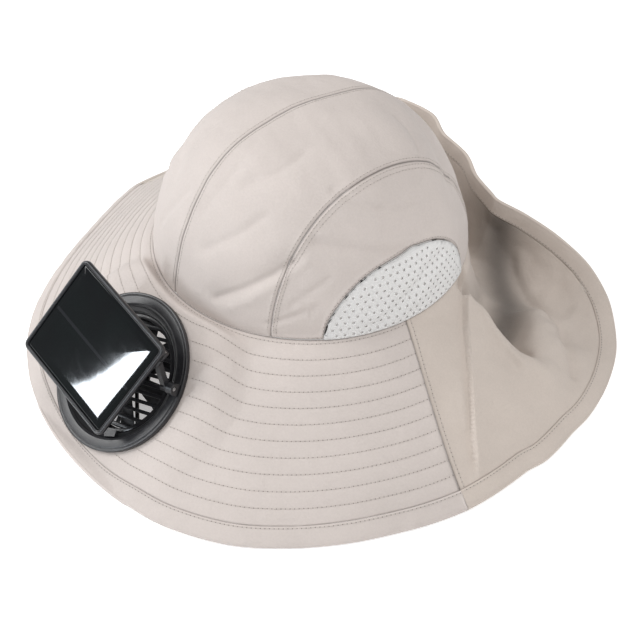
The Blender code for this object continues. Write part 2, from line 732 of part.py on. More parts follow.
def knuckle_in_panel():
    """The fold pin's middle in the panel's frame, whose origin is its top face's middle."""
    return Vector((
        PANEL_LENGTH / 2 - KNUCKLE_INSET,
        KNUCKLE_ALONG,
        -PANEL_THICKNESS - FIT - EYE_RADIUS,
    ))


def swivel_in_ring():
    """The swivel pin's middle at the arm's eye, and the matrix whose Z runs out along it."""
    angle = math.radians(POST_ANGLE)
    out = Vector((math.cos(angle), math.sin(angle), 0.0))
    side = Vector((-math.sin(angle), math.cos(angle), 0.0))
    radius = RING_RADIUS - POST_INSET - POST_LENGTH - FIT - EYE_LENGTH / 2
    place = Matrix((side, Vector((0, 0, 1)), out)).transposed().to_4x4()
    place.translation = out * radius + Vector((0, 0, SWIVEL_RISE))
    return place


def panel_place():
    """The panel's frame in the ring's frame."""
    return Matrix.Translation((PANEL_OUT, PANEL_ACROSS, PANEL_RISE)) @ panel_attitude()


def fold_in_ring():
    """The fold pin's middle at the arm's eye, with Z along the pin."""
    panel = panel_place()
    along = panel.to_3x3() @ Vector((0, 1, 0))
    normal = panel.to_3x3() @ Vector((0, 0, 1))
    place = Matrix((normal, along.cross(normal), along)).transposed().to_4x4()
    place.translation = panel @ knuckle_in_panel()
    return place


def rod(name, radius, start, end, place, parent, finish=None, cutter=False):
    """A round bar along the place's Z axis."""
    bm = bmesh.new()
    bmesh.ops.create_cone(
        bm, cap_ends=True, segments=ROD_STEPS, radius1=radius, radius2=radius,
        depth=end - start, matrix=place @ Matrix.Translation((0, 0, (start + end) / 2)))
    return add_object(name, bm, parent, finish, cutter)


def post_body(place, near):
    """The post's upright with its rounded top, standing on the ring."""
    half = POST_WIDTH / 2
    foot = FIT - SWIVEL_RISE
    spring = POST_HEIGHT - half - SWIVEL_RISE
    outline = [(half, foot)]
    for step in range(POST_STEPS + 1):
        turn = math.pi * step / POST_STEPS
        outline.append((half * math.cos(turn), spring + half * math.sin(turn)))
    outline.append((-half, foot))
    bm = bmesh.new()
    face = bm.faces.new([bm.verts.new((x, y, near)) for x, y in outline])
    grown = bmesh.ops.extrude_face_region(bm, geom=[face])["geom"]
    moved = [item for item in grown if isinstance(item, bmesh.types.BMVert)]
    bmesh.ops.translate(bm, verts=moved, vec=(0, 0, POST_LENGTH))
    bmesh.ops.recalc_face_normals(bm, faces=bm.faces[:])
    bm.transform(place)
    return add_object("hinge_post", bm, RING_FRAME, PLASTIC)


def make_post(place):
    """The post, drilled for the swivel pin."""
    near = EYE_LENGTH / 2 + FIT
    post = post_body(place, near)
    hole = rod("post_hole", PIN_RADIUS + FIT, near - FIT, near + POST_LENGTH + FIT, place,
               RING_FRAME, cutter=True)
    boolean(post, hole, "DIFFERENCE")


def make_arm(axis, fold):
    """Link with an eye round each pin and a bar between them, and the two pins.

    The arm turns about the Z axis of its parent, which is the swivel pin.
    """
    half = EYE_LENGTH / 2
    swivel = Matrix.Identity(4)
    arm = rod("panel_arm", EYE_RADIUS, -half, half, swivel, axis, PLASTIC)
    run = fold.translation
    place = run.to_track_quat("Z", "Y").to_matrix().to_4x4()
    place.translation = run / 2
    bm = bmesh.new()
    add_block(bm, (ARM_WIDTH, ARM_WIDTH, run.length), place)
    boolean(arm, add_object("arm_bar", bm, axis, cutter=True), "UNION")
    eye = rod("arm_eye", EYE_RADIUS, -half, half, fold, axis, cutter=True)
    boolean(arm, eye, "UNION")
    for name, place in (("swivel_hole", swivel), ("fold_hole", fold)):
        hole = rod(name, PIN_RADIUS + FIT, -half * 2, half * 2, place, axis, cutter=True)
        boolean(arm, hole, "DIFFERENCE")
    rod("swivel_pin", PIN_RADIUS, -half, half + FIT + POST_LENGTH, swivel, axis, STEEL)
    rod("fold_pin", PIN_RADIUS, -half, half + FIT + LUG_LENGTH, fold, axis, STEEL)


def make_panel(axis, place):
    """Tray with rounded corners, a recess for the cell and a hinge lug underneath.

    The tray turns about the Z axis of its parent, which is the fold pin.
    """
    bm = bmesh.new()
    middle = Matrix.Translation((0, 0, -PANEL_THICKNESS / 2))
    add_block(bm, (PANEL_LENGTH, PANEL_WIDTH, PANEL_THICKNESS), middle)
    uprights = [edge for edge in bm.edges if edge.verts[0].co.xy == edge.verts[1].co.xy]
    bmesh.ops.bevel(bm, geom=uprights, offset=PANEL_CORNER, segments=CORNER_STEPS,
                    affect="EDGES", profile=0.5)
    bm.transform(place)
    frame = add_object("panel_frame", bm, axis, PLASTIC)
    half = EYE_LENGTH / 2 + FIT
    middle = half + LUG_LENGTH / 2
    tall = EYE_RADIUS + FIT * 2
    bm = bmesh.new()
    web = (tall, EYE_RADIUS * WEB_SHARE, LUG_LENGTH * WEB_SHARE / 2)
    add_block(bm, web, Matrix.Translation((tall / 2, 0, middle)))
    boolean(frame, add_object("panel_lug_web", bm, axis, cutter=True), "UNION")
    still = Matrix.Identity(4)
    lug = rod("panel_lug", EYE_RADIUS, half, half + LUG_LENGTH, still, axis, cutter=True)
    boolean(frame, lug, "UNION")
    end = half + LUG_LENGTH + FIT
    hole = rod("lug_hole", PIN_RADIUS + FIT, half - FIT, end, still, axis, cutter=True)
    boolean(frame, hole, "DIFFERENCE")
    recess = (PANEL_LENGTH - 2 * PANEL_BEZEL, PANEL_WIDTH - 2 * PANEL_BEZEL, CELL_RECESS * 2)
    bm = bmesh.new()
    add_block(bm, recess, place)
    boolean(frame, add_object("cell_recess", bm, axis, cutter=True), "DIFFERENCE")


def make_cell(axis, place):
    """Glazed cell plate lying in the tray."""
    bm = bmesh.new()
    low = -CELL_RECESS + FIT
    middle = Matrix.Translation((0, 0, low + CELL_THICKNESS / 2))
    length = PANEL_LENGTH - 2 * (PANEL_BEZEL + FIT)
    width = PANEL_WIDTH - 2 * (PANEL_BEZEL + FIT)
    add_block(bm, (length, width, CELL_THICKNESS), place @ middle)
    add_object("solar_cell", bm, axis, GLASS)


def centre_on_base():
    """Moves the whole hat so that the origin is the middle of its box, on the table."""
    bpy.context.view_layer.update()
    graph = bpy.context.evaluated_depsgraph_get()
    corners = []
    for obj in PARTS.objects:
        if obj.type != "MESH":
            continue
        ready = obj.evaluated_get(graph)
        mesh = ready.to_mesh()
        corners += [ready.matrix_world @ vert.co for vert in mesh.vertices]
        ready.to_mesh_clear()
    low = np.min(corners, axis=0)
    high = np.max(corners, axis=0)
    shift = Vector(((low[0] + high[0]) / 2, (low[1] + high[1]) / 2, low[2]))
    for obj in [*PARTS.objects, *CUTTERS.objects]:
        if obj.parent is None:
            obj.location -= shift


clear_scene()
PARTS = new_collection("fan_hat")
CUTTERS = new_collection("cutters", rendered=False)

upper_panel("crown_upper_left", 1)
upper_panel("crown_upper_right", -1)
lower_panel("crown_lower_left", 1)
lower_panel("crown_lower_right", -1)
mesh_vent("vent_left", 1)
mesh_vent("vent_right", -1)
SKIRT = skirt_pieces()

SEAT, LEFT, UP_SLOPE, NORMAL = fan_axes()
RING_MATRIX = Matrix((LEFT, UP_SLOPE, NORMAL)).transposed().to_4x4()
RING_MATRIX.translation = SEAT + NORMAL * (RING_THICKNESS + FIT)
RING_FRAME = add_empty("fan_frame", RING_MATRIX)
BRIM_HOLE = disc(
    "brim_hole", SLEEVE_RADIUS + FIT, -CUT_REACH, CUT_REACH, RING_FRAME, cutter=True)
boolean(SKIRT["brim"], BRIM_HOLE, "DIFFERENCE")

make_ring(RING_FRAME)
make_grille(RING_FRAME)
make_bowl(RING_FRAME)
make_guard(RING_FRAME)
make_motor(RING_FRAME)
make_rotor(RING_FRAME)

SWIVEL = swivel_in_ring()
FOLD = fold_in_ring()
SWIVEL_AXIS = add_empty("swivel_axis", SWIVEL, RING_FRAME)
FOLD_AXIS = add_empty("fold_axis", FOLD, RING_FRAME)
make_post(SWIVEL)
make_arm(SWIVEL_AXIS, SWIVEL.inverted() @ FOLD)
make_panel(FOLD_AXIS, FOLD.inverted() @ panel_place())
make_cell(FOLD_AXIS, FOLD.inverted() @ panel_place())

centre_on_base()
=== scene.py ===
"""Look of a wide-brimmed cloth sun hat with a neck flap, mesh vents and a solar fan.

Metres, +Z up, the front of the hat towards -Y. Angles round the crown start at the front
and grow towards the wearer's left (+X). Cloth pieces are laid out on grids of points, one
row of points across the cloth for each step along it.
"""

import json
import math

import bmesh
import bpy
import numpy as np
from mathutils import Matrix, Vector


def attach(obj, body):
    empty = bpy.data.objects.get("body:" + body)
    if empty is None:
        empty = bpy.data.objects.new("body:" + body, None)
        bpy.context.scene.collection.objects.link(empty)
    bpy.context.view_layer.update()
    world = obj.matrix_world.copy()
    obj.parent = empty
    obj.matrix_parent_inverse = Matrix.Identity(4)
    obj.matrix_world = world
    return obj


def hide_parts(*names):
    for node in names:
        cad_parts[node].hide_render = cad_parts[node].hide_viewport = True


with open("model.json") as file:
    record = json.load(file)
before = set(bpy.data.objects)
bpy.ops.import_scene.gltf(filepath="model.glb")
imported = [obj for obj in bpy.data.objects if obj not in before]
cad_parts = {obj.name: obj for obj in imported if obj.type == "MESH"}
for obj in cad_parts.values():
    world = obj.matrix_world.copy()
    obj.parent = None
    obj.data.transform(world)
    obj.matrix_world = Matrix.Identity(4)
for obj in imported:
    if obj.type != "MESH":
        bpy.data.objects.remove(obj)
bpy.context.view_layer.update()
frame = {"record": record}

bl_info = {
    "name": "Solar fan sun hat",
    "version": (1, 0, 0),
    "blender": (4, 5, 0),
    "location": "3D View > Sidebar > Sun hat",
    "description": "Builds a cloth sun hat with a fan in its brim and a solar panel",
    "category": "Object",
}

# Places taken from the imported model
CROWN_MIDDLE = np.array(frame["record"]["mounts"][0]["pos_m"][:2] + [0.0])
JOINTS = {joint["name"]: joint for joint in frame["record"]["behaviour"]["joints"]}
RING_PLACE = np.array(JOINTS["rotor_spin"]["pos_m"])
RING_NORMAL = np.array(JOINTS["rotor_spin"]["axis"])
FOLD_PLACE = np.array(JOINTS["panel_fold"]["pos_m"])
FOLD_ALONG = np.array(JOINTS["panel_fold"]["axis"])

# Crown
CROWN_RADIUS = 0.0950
CROWN_HEIGHT = 0.0912
CROWN_LEAN = (0.0059, -0.0010)
CROWN_FLATTENING = 1.61
CROWN_SHOULDER = 2.77
SIDE_SEAM = (0.0625, 0.0600, 0.0530)
SEAM_GAP = 0.0001
VENT_FRONT = 58.5
VENT_REAR = 121.0
VENT_HEIGHT = 0.0405
VENT_SKEW = 1.1
VENT_ROUNDNESS = 2.4

# Brim and flap
SEAM_RISE = 0.0637
HEM_RADIUS = 0.18306
HEM_WIDTH = 0.0110
HEM_CLOTH = 0.0022
BRIM_BULGE = 0.0010
FLAP_SEAM_ANGLE = 88.0
FLAP_SEAM_LEAN = 6.5
FLAP_SEAM_GAP = 0.0001
BRIM_LEANS_FROM = 60.0
FLAP_LEANS_TO = 112.0
STITCH_ROWS = 11
FIRST_ROW = 0.0024

# Fan ring
FAN_ANGLE = 4.3
FAN_OUT = 0.138935
FAN_TILT = 40.3
FAN_TURN = 6.0
RING_RADIUS = 0.0462
RING_BAND = 0.0070
RING_THICKNESS = 0.0030
DISH_DEPTH = 0.0040
SLEEVE_RADIUS = 0.0365
SLEEVE_WALL = 0.0016
SLEEVE_DEPTH = 0.0088
SEAT_MARGIN = 0.0040
SEAT_FADE = 0.0280
FIT = 0.0003
SLOT_TURN = 20.0
TAB_TURN = -58.0
SLOT_PITCH = 0.0052
SLOT_WIDTH = 0.0031
SLOT_RADIUS = 0.0322
GRILLE_THICKNESS = 0.0014
BOSS_RADIUS = 0.0085
CLAMP_RADIUS = 0.0430
CLAMP_THICKNESS = 0.0018
BOWL_WALL = 0.0015
BOWL_DEPTH = 0.0086
BOWL_TAPER = 0.0045
GUARD_THICKNESS = 0.0014
GUARD_SEAT = 0.0012
HUB_RADIUS = 0.0095
HUB_HEIGHT = 0.0060
BLADE_RADIUS = 0.0312
BLADES = 7

# Panel, about the fold pin
PANEL_LENGTH = 0.0750
PANEL_WIDTH = 0.0650
PANEL_THICKNESS = 0.0034
PANEL_CORNER = 0.0040
PANEL_BEZEL = 0.0024
CELL_RECESS = 0.0016
KNUCKLE_INSET = 0.0030
KNUCKLE_ALONG = 0.0218
EYE_RADIUS = 0.0026
EYE_LENGTH = 0.0036
LUG_LENGTH = 0.0050

# Brim outline: angle, and the hem's radius as a share of HEM_RADIUS
BRIM_OUTLINE = (
    (-81.5, 1.016), (-75, 0.990), (-68, 0.966), (-60, 0.952), (-52, 0.951), (-45, 0.959),
    (-30, 0.980), (-15, 0.990), (0, 0.998), (10, 1.007), (20, 1.021), (30, 1.036),
    (40, 1.038), (50, 1.026), (60, 1.013), (70, 1.004), (81.5, 1.004),
)

# Flap sections: angle, then (out, up) at the shoulder, drop, valley, rise, crease and hem
FLAP_SECTIONS = (
    (81, (0.17, 0.83), (0.34, 0.66), (0.51, 0.50), (0.68, 0.34), (0.85, 0.18), (1.01, 0.04)),
    (95, (0.17, 0.83), (0.34, 0.66), (0.51, 0.50), (0.68, 0.34), (0.85, 0.18), (0.99, 0.04)),
    (100, (0.17, 0.83), (0.34, 0.66), (0.52, 0.49), (0.70, 0.32), (0.87, 0.16), (1.02, 0.04)),
    (108, (0.17, 0.82), (0.34, 0.65), (0.52, 0.49), (0.72, 0.33), (0.90, 0.17), (1.03, 0.04)),
    (113, (0.16, 0.83), (0.33, 0.68), (0.52, 0.52), (0.73, 0.37), (0.91, 0.19), (1.06, 0.04)),
    (118, (0.07, 0.63), (0.18, 0.38), (0.35, 0.26), (0.60, 0.38), (0.86, 0.23), (1.08, 0.04)),
    (124, (0.07, 0.53), (0.18, 0.22), (0.33, 0.19), (0.57, 0.41), (0.84, 0.21), (1.10, 0.04)),
    (133, (0.07, 0.53), (0.17, 0.19), (0.33, 0.22), (0.52, 0.35), (0.76, 0.14), (1.12, 0.05)),
    (141, (0.07, 0.53), (0.17, 0.19), (0.33, 0.11), (0.55, 0.13), (0.82, 0.11), (1.09, 0.16)),
    (148, (0.07, 0.53), (0.16, 0.19), (0.28, 0.06), (0.48, 0.06), (0.74, 0.14), (0.98, 0.35)),
    (155, (0.07, 0.53), (0.14, 0.19), (0.25, 0.06), (0.40, 0.06), (0.60, 0.24), (0.77, 0.55)),
    (161, (0.06, 0.53), (0.11, 0.19), (0.20, 0.06), (0.33, 0.08), (0.48, 0.31), (0.58, 0.68)),
    (167, (0.05, 0.53), (0.10, 0.19), (0.16, 0.06), (0.24, 0.10), (0.33, 0.42), (0.38, 0.83)),
    (175, (0.05, 0.53), (0.10, 0.19), (0.16, 0.06), (0.24, 0.10), (0.31, 0.47), (0.35, 0.92)),
    (183, (0.05, 0.53), (0.10, 0.19), (0.16, 0.06), (0.25, 0.11), (0.34, 0.53), (0.40, 1.03)),
    (190, (0.05, 0.53), (0.10, 0.19), (0.16, 0.06), (0.25, 0.13), (0.33, 0.60), (0.37, 1.14)),
    (198, (0.06, 0.53), (0.11, 0.19), (0.19, 0.06), (0.31, 0.13), (0.41, 0.60), (0.48, 1.21)),
    (208, (0.06, 0.55), (0.14, 0.22), (0.25, 0.06), (0.39, 0.14), (0.50, 0.57), (0.57, 1.19)),
    (220, (0.08, 0.63), (0.19, 0.31), (0.35, 0.13), (0.52, 0.14), (0.65, 0.50), (0.72, 0.97)),
    (232, (0.12, 0.72), (0.26, 0.47), (0.44, 0.24), (0.62, 0.13), (0.77, 0.28), (0.85, 0.63)),
    (245, (0.16, 0.80), (0.32, 0.61), (0.50, 0.41), (0.68, 0.22), (0.84, 0.15), (0.97, 0.28)),
    (256, (0.17, 0.83), (0.34, 0.66), (0.52, 0.49), (0.70, 0.32), (0.87, 0.17), (1.02, 0.06)),
    (279, (0.17, 0.83), (0.34, 0.66), (0.51, 0.50), (0.69, 0.34), (0.87, 0.18), (1.03, 0.04)),
)

# Broad creases of the crown: both ends as (angle, share of the height), half width and depth
# as shares of the crown's radius
CROWN_CREASES = (
    ((20, 0.16), (46, 0.47), 0.075, 0.016), ((56, 0.60), (96, 0.46), 0.065, 0.012),
    ((8, 0.42), (34, 0.66), 0.085, 0.010), ((18, 0.80), (48, 0.95), 0.070, 0.010),
    ((70, 0.78), (110, 0.72), 0.060, -0.008), ((135, 0.55), (170, 0.80), 0.075, 0.018),
    ((141, 0.32), (152, 0.88), 0.180, 0.026), ((200, 0.60), (240, 0.85), 0.080, 0.014),
    ((290, 0.45), (330, 0.62), 0.080, 0.012),
)

# Sharp creases of the crown: both ends, half width and depth in metres
CROWN_FOLDS = (
    ((20, 0.15), (47, 0.49), 0.0022, 0.0008), ((26, 0.14), (52, 0.50), 0.0030, -0.0005),
    ((56, 0.60), (95, 0.44), 0.0020, 0.0005), ((58, 0.65), (97, 0.49), 0.0030, -0.0004),
    ((11, 0.41), (33, 0.70), 0.0026, 0.0005), ((18, 0.81), (47, 0.95), 0.0026, 0.0005),
    ((64, 0.83), (84, 0.71), 0.0020, 0.0005), ((84, 0.72), (105, 0.66), 0.0020, 0.0004),
    ((124, 0.80), (151, 0.89), 0.0026, 0.0006), ((40, 0.10), (56, 0.22), 0.0020, 0.0005),
    ((4, 0.60), (9, 0.86), 0.0030, 0.0004), ((48, 0.24), (60, 0.40), 0.0022, 0.0004),
    ((340, 0.30), (350, 0.62), 0.0030, 0.0006), ((150, 0.30), (175, 0.45), 0.0030, 0.0006),
    ((250, 0.52), (280, 0.40), 0.0026, 0.0006), ((300, 0.20), (320, 0.50), 0.0026, 0.0006),
)

# Sharp folds of the flap: points as (angle, radius in millimetres), half width and height in
# metres. A step lifts the side that lies to its left, seen along its points
FLAP_STEPS = (
    (((126, 95), (104, 114), (97, 131), (88.5, 157), (84.5, 181)), 0.0100, 0.0031),
)
FLAP_RIDGES = (
    (((117, 101), (113, 117), (111.5, 130), (111, 145)), 0.0032, 0.0024),
    (((122, 100), (119, 117), (117, 131), (116, 142)), 0.0042, -0.0042),
    (((140, 125), (135, 131), (121, 148), (110, 171)), 0.0080, 0.0012),
    (((119, 172), (133, 158), (146, 140), (159, 136), (167, 128)), 0.0036, -0.0024),
    (((100, 150), (104, 165), (107, 184)), 0.0050, 0.0008),
    (((94, 130), (91, 142), (89, 150)), 0.0030, 0.0005),
    (((128, 150), (140, 168), (146, 176)), 0.0040, 0.0008),
    (((215, 130), (224, 150), (232, 165)), 0.0040, -0.0012),
)

# Deep fold behind the crown, with painted shade that darkens its cloth: points, half width and
# strength of the painted shade
FLAP_FOLD_PAINTED_SHADE = (((124, 121), (131, 124), (142, 127), (152, 126), (162, 131), (174, 141)),
               0.0130, 1.8)


class SunHatCloth(bpy.types.PropertyGroup):
    """Sizes and colours of the cloth."""

    colour: bpy.props.FloatVectorProperty(
        name="Cloth", description="Colour of the crown and brim", subtype="COLOR", size=3,
        default=(0.560, 0.502, 0.470), min=0, max=1)
    flap_colour: bpy.props.FloatVectorProperty(
        name="Flap", description="Colour of the neck flap", subtype="COLOR", size=3,
        default=(0.560, 0.492, 0.440), min=0, max=1)
    mesh_colour: bpy.props.FloatVectorProperty(
        name="Mesh", description="Colour of the vents", subtype="COLOR", size=3,
        default=(0.70, 0.69, 0.68), min=0, max=1)
    thread_colour: bpy.props.FloatVectorProperty(
        name="Thread", description="Colour of the sewing thread", subtype="COLOR", size=3,
        default=(0.66, 0.60, 0.55), min=0, max=1)
    crown_cloth: bpy.props.FloatProperty(
        name="Crown cloth", description="Thickness of the crown", default=0.0012,
        min=0.0005, max=0.003, unit="LENGTH")
    brim_cloth: bpy.props.FloatProperty(
        name="Brim cloth", description="Thickness of the quilted brim", default=0.0019,
        min=0.0008, max=0.003, unit="LENGTH")
    flap_cloth: bpy.props.FloatProperty(
        name="Flap cloth", description="Thickness of the flap", default=0.0012,
        min=0.0005, max=0.003, unit="LENGTH")
    puff: bpy.props.FloatProperty(
        name="Quilting", description="How far the brim stands up between its stitch rows",
        default=0.00040, min=0, max=0.002, unit="LENGTH")
    stitch: bpy.props.FloatProperty(
        name="Stitch", description="Length of one stitch", default=0.0024,
        min=0.001, max=0.006, unit="LENGTH")
    thread: bpy.props.FloatProperty(
        name="Thread radius", description="Radius of the sewing thread", default=0.00019,
        min=0.0001, max=0.0006, unit="LENGTH")
    weave: bpy.props.FloatProperty(
        name="Weave", description="Distance between two threads of the weave",
        default=0.00055, min=0.0002, max=0.003, unit="LENGTH")


class SunHatVent(bpy.types.PropertyGroup):
    """Sizes of the mesh in the vents."""

    pitch: bpy.props.FloatProperty(
        name="Hole pitch", description="Distance between two holes of a row",
        default=0.0047, min=0.002, max=0.01, unit="LENGTH")
    row: bpy.props.FloatProperty(
        name="Row pitch", description="Distance between two rows of holes",
        default=0.0038, min=0.002, max=0.01, unit="LENGTH")
    hole: bpy.props.FloatProperty(
        name="Hole", description="Radius of a hole", default=0.00072,
        min=0.0003, max=0.002, unit="LENGTH")
    cloth: bpy.props.FloatProperty(
        name="Mesh cloth", description="Thickness of the mesh", default=0.0009,
        min=0.0004, max=0.002, unit="LENGTH")


class SunHatFan(bpy.types.PropertyGroup):
    """Finishes of the fan and the panel."""

    plastic: bpy.props.FloatVectorProperty(
        name="Plastic", description="Colour of the moulded parts", subtype="COLOR", size=3,
        default=(0.013, 0.013, 0.015), min=0, max=1)
    steel: bpy.props.FloatVectorProperty(
        name="Steel", description="Colour of the pins and the motor", subtype="COLOR",
        size=3, default=(0.45, 0.45, 0.46), min=0, max=1)
    cell: bpy.props.FloatVectorProperty(
        name="Cell", description="Colour of the solar cell", subtype="COLOR", size=3,
        default=(0.002, 0.002, 0.003), min=0, max=1)
    finger_pitch: bpy.props.FloatProperty(
        name="Fingers", description="Distance between two fine lines of the cell",
        default=0.0016, min=0.0005, max=0.005, unit="LENGTH")


# Numbers and curves


def smooth_step(value):
    value = np.clip(value, 0.0, 1.0)
    return value * value * (3.0 - 2.0 * value)


def run_through(knots, values, at):
    """A smooth curve through the values that never swings past them, at many places."""
    knots, values = np.asarray(knots, float), np.asarray(values, float)
    at = np.asarray(at, float)
    slopes = np.diff(values) / np.diff(knots)
    tangents = np.empty(len(values))
    tangents[0], tangents[-1] = slopes[0], slopes[-1]
    before, after = slopes[:-1], slopes[1:]
    same_way = before * after > 0
    mean = 2.0 * before * after / np.where(same_way, before + after, 1.0)
    tangents[1:-1] = np.where(same_way, mean, 0.0)
    index = np.clip(np.searchsorted(knots, at) - 1, 0, len(slopes) - 1)
    width = knots[index + 1] - knots[index]
    share = (at - knots[index]) / width
    square, cube = share**2, share**3
    return (
        (2 * cube - 3 * square + 1) * values[index]
        + (cube - 2 * square + share) * width * tangents[index]
        + (3 * square - 2 * cube) * values[index + 1]
        + (cube - square) * width * tangents[index + 1]
    )


def ripple(points, length, seed, waves=7):
    """Uneven waves of about the given length over the points, between about -1 and 1."""
    chance = np.random.default_rng(seed)
    total = 0.0
    for _ in range(waves):
        way = chance.normal(size=3)
        way *= math.tau / length * chance.uniform(0.6, 1.5) / np.linalg.norm(way)
        total = total + np.sin(points @ way + chance.uniform(0, math.tau))
    return total / math.sqrt(waves)


def lengths(points):
    """The way run from each row's first point to each of its points."""
    steps = np.linalg.norm(np.diff(points, axis=1), axis=2)
    return np.concatenate((np.zeros((len(points), 1)), np.cumsum(steps, axis=1)), axis=1)


def grid_normals(points, flip=False):
    """The outward direction at each point of a cloth grid."""
    along = np.gradient(points, axis=0)
    across = np.gradient(points, axis=1)
    normal = np.cross(across, along)
    size = np.linalg.norm(normal, axis=2, keepdims=True)
    normal = normal / np.maximum(size, 1e-12)
    return -normal if flip else normal


def away_from(points, line):
    """Distance to a line of points, and which side: positive to the left, seen from above."""
    nearest = np.full(points.shape[:-1], 1e9)
    side = np.zeros(points.shape[:-1])
    for start, end in zip(line, line[1:]):
        run = end - start
        share = np.clip(((points - start) @ run) / (run @ run), 0, 1)
        offset = points - (start + share[..., None] * run)
        far = np.linalg.norm(offset, axis=-1)
        turn = run[0] * offset[..., 1] - run[1] * offset[..., 0]
        closer = far < nearest
        nearest = np.where(closer, far, nearest)
        side = np.where(closer, np.sign(turn), side)
    return nearest, side


# Crown surface, about the crown's middle


def dome_girth(up):
    return (1.0 - np.clip(up, 0.0, 1.0) ** CROWN_FLATTENING) ** (1.0 / CROWN_SHOULDER)


def dome_lean(up):
    return CROWN_LEAN[0] * up**1.5, CROWN_LEAN[1] * up**1.5


def dome_points(angle, up):
    """Points of the dome at angles in degrees and shares of its height."""
    turn = np.radians(angle)
    radius = CROWN_RADIUS * dome_girth(up)
    lean_x, lean_y = dome_lean(up)
    height = SEAM_RISE + SEAM_GAP + CROWN_HEIGHT * up
    return np.stack((radius * np.sin(turn) + lean_x, lean_y - radius * np.cos(turn),
                     height + 0.0 * turn), axis=-1)


def dome_above(x, y):
    """(angle, share of the height) of the dome straight above points of its base."""
    low, high = np.zeros_like(x), np.ones_like(x)
    for _ in range(36):
        up = (low + high) / 2
        lean_x, lean_y = dome_lean(up)
        inside = np.hypot(x - lean_x, y - lean_y) < CROWN_RADIUS * dome_girth(up)
        low, high = np.where(inside, up, low), np.where(inside, high, up)
    lean_x, lean_y = dome_lean(low)
    return np.degrees(np.arctan2(x - lean_x, -(y - lean_y))), low


def crease_crown(points):
    """Moves points of the dome in or out by the creases near them."""
    middle = np.array((0.0, 0.0, SEAM_RISE + CROWN_HEIGHT / 3))
    inward = middle - points
    inward /= np.linalg.norm(inward, axis=-1, keepdims=True)
    rise = points[..., 2] - SEAM_RISE
    broad = np.zeros(points.shape[:-1])
    sharp = np.zeros(points.shape[:-1])
    for first, last, width, deep in CROWN_CREASES:
        ends = [dome_points(*first), dome_points(*last)]
        far, _ = away_from(points, ends)
        broad += deep * CROWN_RADIUS * np.exp(-((far / width / CROWN_RADIUS) ** 2))
    for first, last, width, deep in CROWN_FOLDS:
        shares = np.linspace(0, 1, 5)
        line = dome_points(first[0] + (last[0] - first[0]) * shares,
                           first[1] + (last[1] - first[1]) * shares)
        far, _ = away_from(points, list(line))
        sharp += 1.8 * deep * np.exp(-((far / width) ** 2))
    broad *= smooth_step(rise / (0.20 * CROWN_HEIGHT))
    sharp += 0.00045 * ripple(points, 0.045, 3) + 0.00016 * ripple(points, 0.016, 4)
    sharp *= smooth_step(rise / 0.006)
    return points + inward * (broad + sharp)[..., None]


def side_seam_x(share):
    return run_through((0.0, 0.5, 1.0), SIDE_SEAM, share)


def seam_station(x, share):
    """(angle, up) where the fore-and-aft plane at x meets the dome, share of the way back."""
    y = -np.sqrt(CROWN_RADIUS**2 - x * x) * np.cos(np.pi * share)
    return dome_above(x, y)


def vent_top(angle):
    """The height of a vent's curved top edge at an angle, as a share of the crown's."""
    share = np.clip((angle - VENT_FRONT) / (VENT_REAR - VENT_FRONT), 0.0, 1.0)
    curve = np.maximum(1.0 - abs(2.0 * share**VENT_SKEW - 1.0) ** VENT_ROUNDNESS, 0.0)
    return VENT_HEIGHT / CROWN_HEIGHT * np.sqrt(curve)


# Brim and flap surface, about the crown's middle


def brim_sections(angles):
    share = np.linspace(0.0, 1.0, 121)
    reach = run_through(*zip(*BRIM_OUTLINE), angles)[:, None] * HEM_RADIUS
    radius = CROWN_RADIUS + (reach - CROWN_RADIUS) * share
    height = SEAM_RISE + (HEM_CLOTH - SEAM_RISE) * share + BRIM_BULGE * np.sin(np.pi * share)
    return radius, height + 0.0 * radius


def flap_sections(angles):
    rows = np.array([[row[0]] for row in FLAP_SECTIONS], float)[:, 0]
    marks = np.arange(7)
    outs = [np.zeros_like(angles)]
    ups = [np.ones_like(angles)]
    for column in range(1, 7):
        outs.append(run_through(rows, [row[column][0] for row in FLAP_SECTIONS], angles))
        ups.append(run_through(rows, [row[column][1] for row in FLAP_SECTIONS], angles))
    outs, ups = np.array(outs), np.array(ups)
    at = np.linspace(0.0, 6.0, 121)
    radius = [CROWN_RADIUS + (HEM_RADIUS - CROWN_RADIUS) * run_through(marks, outs[:, k], at)
              for k in range(len(angles))]
    height = [SEAM_RISE * run_through(marks, ups[:, k], at) for k in range(len(angles))]
    return np.array(radius), np.array(height)


def angle_at_hem(angle):
    """Where the column that leaves the crown at an angle ends: both side seams lean forward."""
    fold = np.where(angle <= 180.0, angle, angle - 360.0)
    far = np.abs(fold)
    near = np.where(
        far < FLAP_SEAM_ANGLE,
        (far - BRIM_LEANS_FROM) / (FLAP_SEAM_ANGLE - BRIM_LEANS_FROM),
        (FLAP_LEANS_TO - far) / (FLAP_LEANS_TO - FLAP_SEAM_ANGLE))
    return angle - np.copysign(FLAP_SEAM_LEAN, fold) * smooth_step(near)


def fan_seat():
    """The seat of the fan on the brim and the axes of its ring, about the crown's middle."""
    turn, tilt = math.radians(FAN_TURN), math.radians(FAN_TILT)
    normal = np.array((math.sin(turn) * math.sin(tilt), -math.cos(turn) * math.sin(tilt),
                       math.cos(tilt)))
    left = np.array((math.cos(turn), math.sin(turn), 0.0))
    radius, height = brim_sections(np.array([FAN_ANGLE]))
    around = math.radians(FAN_ANGLE)
    seat = np.array((FAN_OUT * math.sin(around), -FAN_OUT * math.cos(around),
                     np.interp(FAN_OUT, radius[0], height[0])))
    return seat, left, np.cross(normal, left), normal


